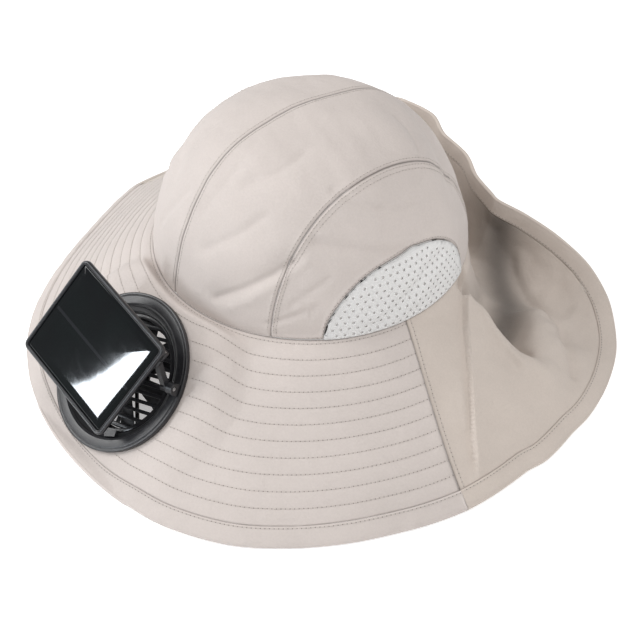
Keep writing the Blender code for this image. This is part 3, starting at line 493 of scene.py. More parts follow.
def press_to_seat(points):
    """Lays the brim flat under the ring, fading out past its edge and to the crown seam."""
    seat, left, up_slope, normal = fan_seat()
    offset = points - seat
    flat = seat[2] - (normal[0] * offset[..., 0] + normal[1] * offset[..., 1]) / normal[2]
    away = np.hypot(offset @ left, offset @ up_slope) - RING_RADIUS - SEAT_MARGIN
    radius = np.hypot(points[..., 0], points[..., 1])
    held = smooth_step((radius - CROWN_RADIUS) / SEAT_MARGIN / 2)
    weight = (1.0 - smooth_step(away / SEAT_FADE)) * held
    pressed = points.copy()
    height = points[..., 2] + (flat - points[..., 2]) * weight
    pressed[..., 2] = np.maximum(height, HEM_CLOTH)
    return pressed, weight


def skirt_grid(sections, angles, shares, start, end):
    """Points from start to end along the sections; an end of 0 or less counts from the hem."""
    hem_angles = angle_at_hem(angles)
    radius, height = sections(hem_angles)
    steps = np.hypot(np.diff(radius), np.diff(height))
    run = np.concatenate((np.zeros((len(angles), 1)), np.cumsum(steps, axis=1)), axis=1)
    total = run[:, -1]
    begin = start + (0.0 if start >= 0 else 1.0) * total
    finish = end + (0.0 if end > 0 else 1.0) * total
    grid = np.empty((len(angles), len(shares), 3))
    for row in range(len(angles)):
        at = begin[row] + (finish[row] - begin[row]) * shares
        out = np.interp(at, run[row], radius[row])
        inset = FLAP_SEAM_GAP / 2 * ((row == 0) - (row == len(angles) - 1))
        left_to_go = (1.0 - at / total[row]) ** 2
        turn = hem_angles[row] + (angles[row] - hem_angles[row]) * left_to_go
        turn = np.radians(turn) + inset / out
        grid[row] = np.stack((out * np.sin(turn), -out * np.cos(turn),
                              np.interp(at, run[row], height[row])), axis=-1)
    return grid


# Meshes


def add_piece(name, points, faces, body, finishes, replaces=(), cloth_map=None,
              kinds=None, sharp=None, seam=None):
    """One named object that rides on a body and stands for the nodes that it replaces."""
    mesh = bpy.data.meshes.new(name)
    mesh.from_pydata(np.asarray(points).reshape(-1, 3).tolist(), [], faces)
    corner = np.empty(len(mesh.loops), dtype=np.int32)
    mesh.loops.foreach_get("vertex_index", corner)
    if cloth_map is not None:
        layer = mesh.uv_layers.new(name="cloth")
        layer.data.foreach_set("uv", np.asarray(cloth_map).reshape(-1, 2)[corner].ravel())
    # The seam attribute carries painted shade: seam edges, tucked edges, hem edges and deep
    # folds
    if seam is not None:
        layer = mesh.attributes.new("seam", "FLOAT", "POINT")
        layer.data.foreach_set("value", np.asarray(seam, dtype=np.float32).ravel())
    for finish in finishes:
        mesh.materials.append(finish)
    if kinds is not None:
        mesh.polygons.foreach_set("material_index", np.asarray(kinds, dtype=np.int32))
    if cloth_map is not None:
        work = bmesh.new()
        work.from_mesh(mesh)
        bmesh.ops.remove_doubles(work, verts=work.verts[:], dist=0.00001)
        work.to_mesh(mesh)
        work.free()
    mesh.shade_smooth()
    if sharp is not None:
        mesh.set_sharp_from_angle(angle=math.radians(sharp))
    obj = bpy.data.objects.new(name, mesh)
    bpy.context.scene.collection.objects.link(obj)
    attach(obj, body)
    if replaces:
        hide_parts(*replaces)
    return obj


def grid_faces(rows, columns, flip=False, keep=None):
    """Four-sided faces of a grid of points."""
    faces = []
    for row in range(rows - 1):
        near, far = row * columns, (row + 1) * columns
        for column in range(columns - 1):
            if keep is not None and not keep[row, column]:
                continue
            face = (near + column, near + column + 1, far + column + 1, far + column)
            faces.append(face[::-1] if flip else face)
    return faces


def add_wall(obj, thickness):
    wall = obj.modifiers.new("wall", "SOLIDIFY")
    wall.thickness = thickness
    wall.offset = -1.0


CLOTHS = {}


def add_cloth(name, points, finish, thickness, flip=False, keep=None,
              cloth_map=None, seam=None, run=None):
    """A cloth piece from its grid, kept for the stitches that run over it."""
    rows, columns = points.shape[:2]
    if cloth_map is None:
        across = lengths(points)
        along = lengths(points.transpose(1, 0, 2)).T
        cloth_map = np.stack((along[:, columns // 2][:, None] + 0 * across, across), axis=-1)
    obj = add_piece(f"{name}_cloth", points + CROWN_MIDDLE,
                    grid_faces(rows, columns, flip, keep), "hat", [finish], [name],
                    cloth_map, seam=seam)
    add_wall(obj, thickness)
    CLOTHS[name] = (points, grid_normals(points, flip), lengths(points) if run is None else run)
    return obj


def line_across(name, distance, from_end=False, swap=False, rows=None):
    """Points and normals of the line over a cloth grid at a distance from one of its edges."""
    points, normals, run = CLOTHS[name]
    if swap:
        points, normals = points.transpose(1, 0, 2), normals.transpose(1, 0, 2)
        run = lengths(points)
    if from_end:
        points, normals = points[:, ::-1], normals[:, ::-1]
        run = run[:, -1:] - run[:, ::-1]
    distance = np.broadcast_to(distance, (len(points),))
    found, facing = [], []
    for row in range(len(points)) if rows is None else rows:
        if distance[row] > run[row, -1]:
            continue
        found.append([np.interp(distance[row], run[row], points[row, :, k]) for k in range(3)])
        facing.append([np.interp(distance[row], run[row], normals[row, :, k])
                       for k in range(3)])
    return np.array(found), np.array(facing)


def stitch_line(points, normals, pitch, radius, share=0.66):
    """Threads along a line, with dark discs painted as the shade of the needle's holes:
    vertices, faces and the kind of each face.
    """
    run = np.concatenate(([0.0], np.cumsum(np.linalg.norm(np.diff(points, axis=0), axis=1))))
    middles = np.arange(pitch, run[-1] - pitch / 2, pitch)
    if len(middles) < 2:
        return np.empty((0, 3)), [], []

    def at(place, values):
        return np.stack([np.interp(place, run, values[:, k]) for k in range(3)], axis=-1)

    verts, faces, kinds = [], [], []
    half = pitch * share / 2
    centre = [at(middles + half * step, points) for step in (-1, -0.6, 0.6, 1)]
    facing = at(middles, normals)
    way = centre[3] - centre[0]
    way /= np.maximum(np.linalg.norm(way, axis=1, keepdims=True), 1e-9)
    side = np.cross(facing, way)
    rings = []
    for spot, lift, wide in zip(centre, (-0.4, 0.7, 0.7, -0.4), (0.6, 1.0, 1.0, 0.6)):
        ring = []
        for turn in np.linspace(0, math.tau, 6)[:-1]:
            ring.append(spot + facing * radius * (lift + wide * math.sin(turn))
                        + side * radius * wide * math.cos(turn))
        rings.append(np.stack(ring, axis=1))
    block = np.concatenate(rings, axis=1)
    verts.append(block.reshape(-1, 3))
    for index in range(len(middles)):
        first = index * 20
        for ring in range(3):
            for k in range(5):
                low, high = first + ring * 5, first + ring * 5 + 5
                faces.append((low + k, low + (k + 1) % 5, high + (k + 1) % 5, high + k))
                kinds.append(0)
    count = len(middles) * 20
    # Painted shade: a dark disc just above the cloth at each stitch's end stands in for the
    # shaded hole
    spot = at(middles + pitch / 2, points) + facing * 0.00008
    hole = []
    for turn in np.linspace(0, math.tau, 7)[:-1]:
        hole.append(spot + way * radius * 1.9 * math.cos(turn)
                    + side * radius * 1.7 * math.sin(turn))
    verts.append(np.stack(hole, axis=1).reshape(-1, 3))
    for index in range(len(middles)):
        first = count + index * 6
        faces.append(tuple(first + k for k in range(6)))
        kinds.append(1)
    return np.concatenate(verts), faces, kinds


def add_stitches(name, lines, finishes, pitch, radius):
    """One joined piece for all the stitch lines of a cloth."""
    verts, faces, kinds, count = [], [], [], 0
    for points, normals in lines:
        if len(points) < 3:
            continue
        more, corners, kind = stitch_line(points, normals, pitch, radius)
        verts.append(more)
        faces += [tuple(count + k for k in corner) for corner in corners]
        kinds += kind
        count += len(more)
    return add_piece(name, np.concatenate(verts) + CROWN_MIDDLE, faces, "hat",
                     finishes, kinds=kinds)


def lathe(profile, steps=160):
    """Points and faces of a closed profile of (radius, height) turned about the Z axis."""
    turns = np.linspace(0, math.tau, steps + 1)[:-1]
    radius, height = np.array(profile).T
    points = np.stack((np.cos(turns)[:, None] * radius, np.sin(turns)[:, None] * radius,
                       height + 0 * turns[:, None]), axis=-1)
    count = len(profile)
    faces = []
    for step in range(steps):
        near, far = step * count, (step + 1) % steps * count
        for k in range(count):
            after = (k + 1) % count
            faces.append((near + k, far + k, far + after, near + after))
    return points.reshape(-1, 3), faces


def rounded(profile, radius, steps=3):
    """A closed profile with its corners rounded."""
    out = []
    count = len(profile)
    for k in range(count):
        here = np.array(profile[k])
        before, after = np.array(profile[k - 1]), np.array(profile[(k + 1) % count])
        to_before, to_after = before - here, after - here
        cut = min(radius, np.linalg.norm(to_before) / 2.2, np.linalg.norm(to_after) / 2.2)
        start = here + to_before / np.linalg.norm(to_before) * cut
        end = here + to_after / np.linalg.norm(to_after) * cut
        for share in np.linspace(0, 1, steps + 1):
            out.append(tuple((1 - share) ** 2 * start + 2 * share * (1 - share) * here
                             + share**2 * end))
    return out


def turned(turn):
    """Rows that turn points about the Z axis."""
    return np.array(((math.cos(turn), math.sin(turn), 0),
                     (-math.sin(turn), math.cos(turn), 0), (0, 0, 1)))


def place_in_ring(points):
    """From the ring's own frame to the model's."""
    turn = math.radians(FAN_TURN)
    left = np.array((math.cos(turn), math.sin(turn), 0.0))
    up_slope = np.cross(RING_NORMAL, left)
    axes = np.stack((left, up_slope, RING_NORMAL))
    return np.asarray(points) @ axes + RING_PLACE


def panel_axes():
    """The panel's long side, short side and normal, and the middle of its top."""
    short = FOLD_ALONG / np.linalg.norm(FOLD_ALONG)
    long_side = np.array((0.966058, 0.089537, -0.242312))
    long_side -= short * (long_side @ short)
    long_side /= np.linalg.norm(long_side)
    normal = np.cross(long_side, short)
    knuckle = (PANEL_LENGTH / 2 - KNUCKLE_INSET, KNUCKLE_ALONG,
               -PANEL_THICKNESS - FIT - EYE_RADIUS)
    axes = np.stack((long_side, short, normal))
    return axes, FOLD_PLACE - np.array(knuckle) @ axes


def rounded_loop(length, width, corner, height, steps=8):
    """A rectangle with rounded corners as a ring of points."""
    points = []
    for quarter, (x, y) in enumerate(((1, 1), (-1, 1), (-1, -1), (1, -1))):
        for turn in np.linspace(0, math.pi / 2, steps + 1) + quarter * math.pi / 2:
            points.append((x * (length / 2 - corner) + corner * math.cos(turn),
                           y * (width / 2 - corner) + corner * math.sin(turn), height))
    return points


def joined(parts):
    """Several (points, faces) joined into one."""
    points, faces, count = [], [], 0
    for more, corners in parts:
        points.append(np.asarray(more, float).reshape(-1, 3))
        faces += [tuple(count + k for k in corner) for corner in corners]
        count += len(points[-1])
    return np.concatenate(points), faces


def loops_to_faces(loops, count, close_first=True, close_last=True):
    """Faces between equal rings of points, from the first to the last."""
    faces = []
    for ring in range(loops - 1):
        for k in range(count):
            after = (k + 1) % count
            low, high = ring * count, (ring + 1) * count
            faces.append((low + k, low + after, high + after, high + k))
    if close_first:
        faces.append(tuple(reversed(range(count))))
    if close_last:
        faces.append(tuple(range((loops - 1) * count, loops * count)))
    return faces


def frame_of(along, near=(0.0, 0.0, 1.0)):
    """Three axes as rows, the last one along the given direction."""
    along = np.asarray(along, float) / np.linalg.norm(along)
    side = np.cross(near, along)
    side /= np.linalg.norm(side)
    return np.stack((side, np.cross(along, side), along))


def prism(outline, low, high):
    """A solid from a closed outline in X and Y."""
    count = len(outline)
    points = [(x, y, low) for x, y in outline] + [(x, y, high) for x, y in outline]
    faces = [tuple(reversed(range(count))), tuple(range(count, 2 * count))]
    for k in range(count):
        after = (k + 1) % count
        faces.append((k, after, count + after, count + k))
    return np.array(points), faces


# Materials


def new_node(tree, kind, **settings):
    made = tree.nodes.new(kind)
    for key, value in settings.items():
        setattr(made, key, value)
    return made


def feed(tree, node, socket, value):
    """Links an output to an input, or sets the input's value."""
    if isinstance(value, bpy.types.NodeSocket):
        tree.links.new(value, node.inputs[socket])
    else:
        node.inputs[socket].default_value = value


def calculate(tree, operation, *values):
    made = new_node(tree, "ShaderNodeMath", operation=operation)
    for index, value in enumerate(values):
        feed(tree, made, index, value)
    return made.outputs[0]


def mix_colour(tree, share, first, second, blend="MIX"):
    made = new_node(tree, "ShaderNodeMix", data_type="RGBA", blend_type=blend)
    feed(tree, made, 0, share)
    feed(tree, made, 6, first)
    feed(tree, made, 7, second)
    return made.outputs[2]


def noise(tree, vector, scale, detail=3.0, roughness=0.5, warp=0.0):
    made = new_node(tree, "ShaderNodeTexNoise")
    feed(tree, made, "Vector", vector)
    feed(tree, made, "Scale", scale)
    feed(tree, made, "Detail", detail)
    feed(tree, made, "Roughness", roughness)
    feed(tree, made, "Distortion", warp)
    return made.outputs["Fac"]


def new_group(name, inputs, outputs):
    """An empty node group with its sockets, its input node and its output node."""
    group = bpy.data.node_groups.new(name, "ShaderNodeTree")
    for socket, kind, value in inputs:
        made = group.interface.new_socket(socket, in_out="INPUT", socket_type=kind)
        if value is not None:
            made.default_value = value
    for socket, kind in outputs:
        group.interface.new_socket(socket, in_out="OUTPUT", socket_type=kind)
    return group, group.nodes.new("NodeGroupInput"), group.nodes.new("NodeGroupOutput")


def use_group(tree, group, **values):
    made = tree.nodes.new("ShaderNodeGroup")
    made.node_tree = group
    for key, value in values.items():
        feed(tree, made, key.replace("_", " "), value)
    return made


def weave_group():
    """Plain weave over the cloth's own map: height of the threads and shade between them."""
    if "Plain weave" in bpy.data.node_groups:
        return bpy.data.node_groups["Plain weave"]
    group, inward, outward = new_group(
        "Plain weave",
        [("Map", "NodeSocketVector", None), ("Pitch", "NodeSocketFloat", 0.0006),
         ("Slub", "NodeSocketFloat", 0.3)],
        [("Height", "NodeSocketFloat"), ("Shade", "NodeSocketFloat")])
    split = new_node(group, "ShaderNodeSeparateXYZ")
    feed(group, split, 0, inward.outputs["Map"])
    across = calculate(group, "DIVIDE", split.outputs[0], inward.outputs["Pitch"])
    along = calculate(group, "DIVIDE", split.outputs[1], inward.outputs["Pitch"])
    warp = calculate(group, "ABSOLUTE", calculate(
        group, "SINE", calculate(group, "MULTIPLY", across, math.pi)))
    weft = calculate(group, "ABSOLUTE", calculate(
        group, "SINE", calculate(group, "MULTIPLY", along, math.pi)))
    total = calculate(group, "ADD", calculate(group, "FLOOR", across),
                      calculate(group, "FLOOR", along))
    over = calculate(group, "PINGPONG", total, 1.0)
    under = calculate(group, "SUBTRACT", 1.0, over)
    height = calculate(group, "ADD", calculate(group, "MULTIPLY", warp, over),
                       calculate(group, "MULTIPLY", weft, under))
    stretch = new_node(group, "ShaderNodeMapping")
    feed(group, stretch, "Vector", inward.outputs["Map"])
    feed(group, stretch, "Scale", (260.0, 2600.0, 1.0))
    slub = noise(group, stretch.outputs[0], 1.0, 2.0)
    height = calculate(group, "MULTIPLY_ADD", slub, inward.outputs["Slub"], height)
    feed(group, outward, "Height", height)
    feed(group, outward, "Shade", calculate(group, "MULTIPLY", warp, weft))
    return group


def cloth_mottle_group():
    """Soft, uneven shade of washed cloth, from broad patches down to single threads."""
    if "Cloth mottle" in bpy.data.node_groups:
        return bpy.data.node_groups["Cloth mottle"]
    group, inward, outward = new_group(
        "Cloth mottle",
        [("Place", "NodeSocketVector", None), ("Patches", "NodeSocketFloat", 22.0),
         ("Fleck", "NodeSocketFloat", 900.0)],
        [("Shade", "NodeSocketFloat"), ("Wrinkle", "NodeSocketFloat")])
    place = inward.outputs["Place"]
    patches = noise(group, place, inward.outputs["Patches"], 3.0, 0.55)
    fleck = noise(group, place, inward.outputs["Fleck"], 2.0, 0.6)
    shade = calculate(group, "MULTIPLY_ADD", fleck, 0.45,
                      calculate(group, "MULTIPLY", patches, 0.55))
    feed(group, outward, "Shade", shade)
    wrinkle = noise(group, place, 95.0, 4.0, 0.55, 0.6)
    feed(group, outward, "Wrinkle", wrinkle)
    return group


def grain_group():
    """Fine moulded grain, with handling marks as a mask."""
    if "Moulded grain" in bpy.data.node_groups:
        return bpy.data.node_groups["Moulded grain"]
    group, inward, outward = new_group(
        "Moulded grain",
        [("Place", "NodeSocketVector", None), ("Grain", "NodeSocketFloat", 2400.0)],
        [("Height", "NodeSocketFloat"), ("Marks", "NodeSocketFloat")])
    place = inward.outputs["Place"]
    feed(group, outward, "Height", noise(group, place, inward.outputs["Grain"], 2.0))
    stretch = new_node(group, "ShaderNodeMapping")
    feed(group, stretch, "Vector", place)
    feed(group, stretch, "Scale", (90.0, 700.0, 90.0))
    marks = noise(group, stretch.outputs[0], 1.0, 4.0, 0.65, 0.4)
    marks = calculate(group, "MULTIPLY", calculate(group, "SUBTRACT", marks, 0.5), 3.0)
    feed(group, outward, "Marks", calculate(group, "MAXIMUM", marks, 0.0))
    return group


def new_material(name):
    material = bpy.data.materials.new(name)
    material.use_nodes = True
    tree = material.node_tree
    shader = tree.nodes["Principled BSDF"]
    return material, tree, shader


def cloth_material(name, colour, pitch, shade_by=0.16, bump=0.30):
    """Matt woven cloth with a thread-scale bump, mottling, and painted shade from the seam
    attribute on seam edges, hem edges and deep folds.
    """
    material, tree, shader = new_material(name)
    place = new_node(tree, "ShaderNodeTexCoord").outputs["Object"]
    cloth_map = new_node(tree, "ShaderNodeUVMap", uv_map="cloth").outputs["UV"]
    weave = use_group(tree, weave_group(), Map=cloth_map, Pitch=pitch)
    mottle = use_group(tree, cloth_mottle_group(), Place=place)
    # Painted shade: the seam attribute darkens the cloth at seams, tucked and hem edges and the
    # flap's deep fold
    seam = new_node(tree, "ShaderNodeAttribute", attribute_name="seam").outputs["Fac"]
    shade = calculate(tree, "MULTIPLY_ADD", weave.outputs["Shade"], 0.10,
                      calculate(tree, "MULTIPLY", mottle.outputs["Shade"], shade_by * 2))
    level = calculate(tree, "SUBTRACT", calculate(tree, "ADD", shade, 1.0),
                      0.05 + shade_by)
    level = calculate(tree, "MULTIPLY", level, calculate(
        tree, "SUBTRACT", 1.0, calculate(tree, "MULTIPLY", seam, 0.38)))
    grey = new_node(tree, "ShaderNodeCombineXYZ")
    for index in range(3):
        feed(tree, grey, index, level)
    base = mix_colour(tree, 1.0, (*colour, 1.0), grey.outputs[0], "MULTIPLY")
    feed(tree, shader, "Base Color", base)
    rough = calculate(tree, "MULTIPLY_ADD", mottle.outputs["Shade"], 0.12, 0.80)
    feed(tree, shader, "Roughness", rough)
    shader.inputs["Sheen Weight"].default_value = 0.12
    shader.inputs["Sheen Roughness"].default_value = 0.5
    shader.inputs["Specular IOR Level"].default_value = 0.25
    fine = new_node(tree, "ShaderNodeBump")
    feed(tree, fine, "Height", weave.outputs["Height"])
    fine.inputs["Distance"].default_value = 0.00012
    fine.inputs["Strength"].default_value = bump
    broad = new_node(tree, "ShaderNodeBump")
    feed(tree, broad, "Height", mottle.outputs["Wrinkle"])
    broad.inputs["Distance"].default_value = 0.0012
    broad.inputs["Strength"].default_value = 0.42
    feed(tree, broad, "Normal", fine.outputs[0])
    feed(tree, shader, "Normal", broad.outputs[0])
    return material


def thread_material(name, colour, dark=False):
    material, tree, shader = new_material(name)
    place = new_node(tree, "ShaderNodeTexCoord").outputs["Object"]
    mottle = use_group(tree, cloth_mottle_group(), Place=place, Fleck=2500.0)
    low = tuple(0.55 * value for value in colour)
    base = mix_colour(tree, mottle.outputs["Shade"], (*low, 1.0), (*colour, 1.0))
    feed(tree, shader, "Base Color", base)
    shader.inputs["Roughness"].default_value = 0.9 if dark else 0.6
    bump = new_node(tree, "ShaderNodeBump")
    feed(tree, bump, "Height", mottle.outputs["Shade"])
    bump.inputs["Distance"].default_value = 0.0001
    feed(tree, shader, "Normal", bump.outputs[0])
    return material


def plastic_material(name, colour, gloss, grain=2400.0, bump=0.15):
    """Black moulded plastic: fine grain, faint handling marks."""
    material, tree, shader = new_material(name)
    place = new_node(tree, "ShaderNodeTexCoord").outputs["Object"]
    marks = use_group(tree, grain_group(), Place=place, Grain=grain)
    worn = tuple(min(value * 1.9 + 0.004, 1.0) for value in colour)
    base = mix_colour(tree, marks.outputs["Marks"], (*colour, 1.0), (*worn, 1.0))
    feed(tree, shader, "Base Color", base)
    rough = calculate(tree, "MULTIPLY_ADD", marks.outputs["Marks"], 0.14, gloss)
    feed(tree, shader, "Roughness", rough)
    height = new_node(tree, "ShaderNodeBump")
    feed(tree, height, "Height", marks.outputs["Height"])
    height.inputs["Distance"].default_value = 0.00008
    height.inputs["Strength"].default_value = bump
    feed(tree, shader, "Normal", height.outputs[0])
    return material


def steel_material(name, colour):
    material, tree, shader = new_material(name)
    place = new_node(tree, "ShaderNodeTexCoord").outputs["Object"]
    marks = use_group(tree, grain_group(), Place=place, Grain=1500.0)
    dull = tuple(value * 0.6 for value in colour)
    base = mix_colour(tree, marks.outputs["Marks"], (*colour, 1.0), (*dull, 1.0))
    feed(tree, shader, "Base Color", base)
    shader.inputs["Metallic"].default_value = 1.0
    feed(tree, shader, "Roughness", calculate(
        tree, "MULTIPLY_ADD", marks.outputs["Marks"], 0.2, 0.32))
    return material


def cell_material(name, colour, pitch):
    """Dark cell under clear resin: fine fingers, one busbar and a wavy glossy face."""
    material, tree, shader = new_material(name)
    axes, middle = panel_axes()
    place = new_node(tree, "ShaderNodeTexCoord").outputs["Object"]
    offset = new_node(tree, "ShaderNodeVectorMath", operation="SUBTRACT")
    feed(tree, offset, 0, place)
    feed(tree, offset, 1, tuple(middle))
    spots = []
    for axis in (axes[0], axes[1]):
        dot = new_node(tree, "ShaderNodeVectorMath", operation="DOT_PRODUCT")
        feed(tree, dot, 0, offset.outputs[0])
        feed(tree, dot, 1, tuple(axis))
        spots.append(dot.outputs["Value"])
    along, across = spots
    wave = calculate(tree, "ABSOLUTE", calculate(tree, "SINE", calculate(
        tree, "MULTIPLY", along, math.pi / pitch)))
    finger = calculate(tree, "LESS_THAN", wave, 0.26)
    bus = calculate(tree, "LESS_THAN", calculate(tree, "ABSOLUTE", across), 0.0009)
    edge_x = calculate(tree, "GREATER_THAN", calculate(tree, "ABSOLUTE", along),
                       PANEL_LENGTH / 2 - PANEL_BEZEL - 0.0018)
    edge_y = calculate(tree, "GREATER_THAN", calculate(tree, "ABSOLUTE", across),
                       PANEL_WIDTH / 2 - PANEL_BEZEL - 0.0018)
    edge = calculate(tree, "MAXIMUM", edge_x, edge_y)
    lines = calculate(tree, "MAXIMUM", calculate(tree, "MULTIPLY", finger, 0.35),
                      calculate(tree, "MULTIPLY", bus, 0.7))
    lines = calculate(tree, "MULTIPLY", lines, calculate(tree, "SUBTRACT", 1.0, edge))
    mottle = use_group(tree, grain_group(), Place=place, Grain=60.0)
    tint = mix_colour(tree, mottle.outputs["Height"], (*colour, 1.0),
                      (0.003, 0.006, 0.006, 1.0))
    base = mix_colour(tree, lines, tint, (0.018, 0.019, 0.022, 1.0))
    feed(tree, shader, "Base Color", base)
    shader.inputs["Specular IOR Level"].default_value = 0.36
    feed(tree, shader, "Roughness", calculate(
        tree, "MULTIPLY_ADD", mottle.outputs["Marks"], 0.03, 0.05))
    height = new_node(tree, "ShaderNodeBump")
    feed(tree, height, "Height", noise(tree, place, 55.0, 1.5, 0.5))
    height.inputs["Distance"].default_value = 0.0006
    height.inputs["Strength"].default_value = 0.07
    feed(tree, shader, "Normal", height.outputs[0])
    return material


FINISHES = {}


def finish_of(kind):
    """The material of one kind of finish, made once."""
    cloth = bpy.context.scene.sun_hat_cloth
    fan = bpy.context.scene.sun_hat_fan
    if kind not in FINISHES:
        makers = {
            "crown cloth": lambda: cloth_material(kind, cloth.colour, cloth.weave),
            "brim cloth": lambda: cloth_material(kind, cloth.colour, cloth.weave, 0.14),
            "flap cloth": lambda: cloth_material(kind, cloth.flap_colour, cloth.weave),
            "knitted mesh": lambda: cloth_material(
                kind, cloth.mesh_colour, 0.0009, 0.05, 0.45),
            "sewing thread": lambda: thread_material(kind, cloth.thread_colour),
            # Dark discs at the stitch ends, painted as the shade in the holes the needle made
            "needle hole shade": lambda: thread_material(kind, (0.31, 0.27, 0.245), True),
            "satin plastic": lambda: plastic_material(kind, fan.plastic, 0.30),
            "textured plastic": lambda: plastic_material(kind, fan.plastic, 0.52, 1500, 0.4),
            "polished plastic": lambda: plastic_material(kind, fan.plastic, 0.16, 2400, 0.06),
            "plated steel": lambda: steel_material(kind, fan.steel),
            "solar cell": lambda: cell_material(kind, fan.cell, fan.finger_pitch),
        }
        FINISHES[kind] = makers[kind]()
    return FINISHES[kind]


# Cloth pieces


def spread(count):
    """Shares from 0 to 1 that crowd towards both ends."""
    even = np.linspace(0, 1, count)
    return 0.4 * even + 0.6 * (1 - np.cos(np.pi * even)) / 2


def seam_dip(away):
    """How far the cloth turns in at a seam, and how much painted shade darkens its edge."""
    return 0.00045 * np.exp(-((away / 0.0007) ** 2)), np.exp(-((away / 0.00055) ** 2))


def pucker(points, away, share):
    """Short ripples square to a gathered seam."""
    along = points[..., 1] + 0.3 * points[..., 2]
    waves = np.sin(math.tau * along / 0.0034 + 1.3 * ripple(points, 0.02, 9))
    weight = np.exp(-away / 0.006) * smooth_step(away / 0.0006)
    return 0.00022 * waves * weight * smooth_step((share - 0.30) / 0.2)


def relieve(points, relief, flip=False):
    """Points moved out by a relief along the cloth's own normals."""
    return points + grid_normals(points, flip) * relief[..., None]


def crown_upper(name, side):
    shares = spread(170)
    across = spread(62)
    outer = side_seam_x(shares) - SEAM_GAP / 2
    x = SEAM_GAP / 2 + (outer[:, None] - SEAM_GAP / 2) * across
    angle, up = seam_station(side * x, shares[:, None] + 0.0 * x)
    points = crease_crown(dome_points(angle, up))
    run = lengths(points)
    to_middle, to_side = run, run[:, -1:] - run
    dip_middle, dark_middle = seam_dip(to_middle)
    dip_side, dark_side = seam_dip(to_side)
    relief = pucker(points, to_side, shares[:, None] + 0 * x) - dip_middle - dip_side
    relief += 0.00025 * np.exp(-(((to_side - 0.0016) / 0.0010) ** 2))
    points = relieve(points, relief, side < 0)
    cloth = bpy.context.scene.sun_hat_cloth
    add_cloth(name, points, finish_of("crown cloth"), cloth.crown_cloth,
              flip=side < 0, seam=np.maximum(dark_middle, dark_side))


def crown_lower(name, side):
    shares = spread(170)
    down = spread(64)
    x = side_seam_x(shares) + SEAM_GAP / 2
    top_angle, top_up = seam_station(side * x, shares)
    front = float(seam_station(np.array([SIDE_SEAM[0] + SEAM_GAP / 2]), np.array([0.0]))[0][0])
    rear = float(seam_station(np.array([SIDE_SEAM[2] + SEAM_GAP / 2]), np.array([1.0]))[0][0])
    low = np.interp(shares * 16, (0, 3, 13, 16), (front, VENT_FRONT, VENT_REAR, rear))
    low_up = vent_top(low)
    low_up += np.where(low_up > 0, SEAM_GAP / CROWN_HEIGHT, 0.0)
    angle = top_angle[:, None] + (side * low - top_angle)[:, None] * down
    up = top_up[:, None] + (low_up - top_up)[:, None] * down
    points = crease_crown(dome_points(angle, up))
    run = lengths(points)
    to_side, to_low = run, run[:, -1:] - run
    dip_side, dark_side = seam_dip(to_side)
    dip_low, dark_low = seam_dip(to_low)
    relief = pucker(points, to_side, shares[:, None] + 0 * run) - dip_side - dip_low
    relief += 0.00025 * np.exp(-(((to_side - 0.0016) / 0.0010) ** 2))
    relief += 0.00035 * np.exp(-(((to_low - 0.0022) / 0.0014) ** 2))
    fade = smooth_step(run[:, -1] / 0.004)[:, None]
    points = relieve(points, relief * fade, side < 0)
    cloth = bpy.context.scene.sun_hat_cloth
    add_cloth(name, points, finish_of("crown cloth"), cloth.crown_cloth,
              flip=side < 0, seam=np.maximum(dark_side, dark_low))


class SUNHAT_OT_crown(bpy.types.Operator):
    """Four crown panels with their creases, puckers and turned seams"""

    bl_idname = "sunhat.crown"
    bl_label = "Crown panels"

    def execute(self, context):
        crown_upper("crown_upper_left", 1)
        crown_upper("crown_upper_right", -1)
        crown_lower("crown_lower_left", 1)
        crown_lower("crown_lower_right", -1)
        return {"FINISHED"}


def vent_cells(length, height, pitch, row_height, hole):
    """Flat mesh cloth with staggered holes: points (along, up), faces."""
    points, faces = [], []
    ring = [(-1, -1), (-0.5, -1), (0, -1), (0.5, -1), (1, -1), (1, 0), (1, 1), (0.5, 1),
            (0, 1), (-0.5, 1), (-1, 1), (-1, 0)]
    rows = int(math.ceil(height / row_height)) + 1
    for row in range(rows):
        shift = pitch / 2 * (row % 2)
        for column in range(-1, int(math.ceil(length / pitch)) + 1):
            middle = np.array((column * pitch + pitch / 2 + shift, (row + 0.5) * row_height))
            first = len(points)
            outer = [middle + (x * pitch / 2, y * row_height / 2) for x, y in ring]
            top = [vent_edge(spot[0]) for spot in outer]
            inside = all(spot[1] <= edge for spot, edge in zip(outer, top))
            some = any(spot[1] < edge for spot, edge in zip(outer, top))
            if not some:
                continue
            if inside:
                inner = [middle + hole * np.array((1.1 * x, y)) / math.hypot(x, y)
                         for x, y in ring]
                midway = [(a + b * 2) / 3 for a, b in zip(outer, inner)]
                points += outer + midway + inner
                for k in range(12):
                    after = (k + 1) % 12
                    faces.append((first + k, first + after, first + 12 + after,
                                  first + 12 + k))
                    faces.append((first + 12 + k, first + 12 + after, first + 24 + after,
                                  first + 24 + k))
            else:
                points += outer + [middle]
                for k in range(12):
                    faces.append((first + k, first + (k + 1) % 12, first + 12))
    return np.array(points), faces


def vent_edge(along):
    """The height of the vent at a way along its base."""
    angle = VENT_FRONT + math.degrees(along / CROWN_RADIUS)
    return float(vent_top(angle)) * CROWN_HEIGHT - SEAM_GAP


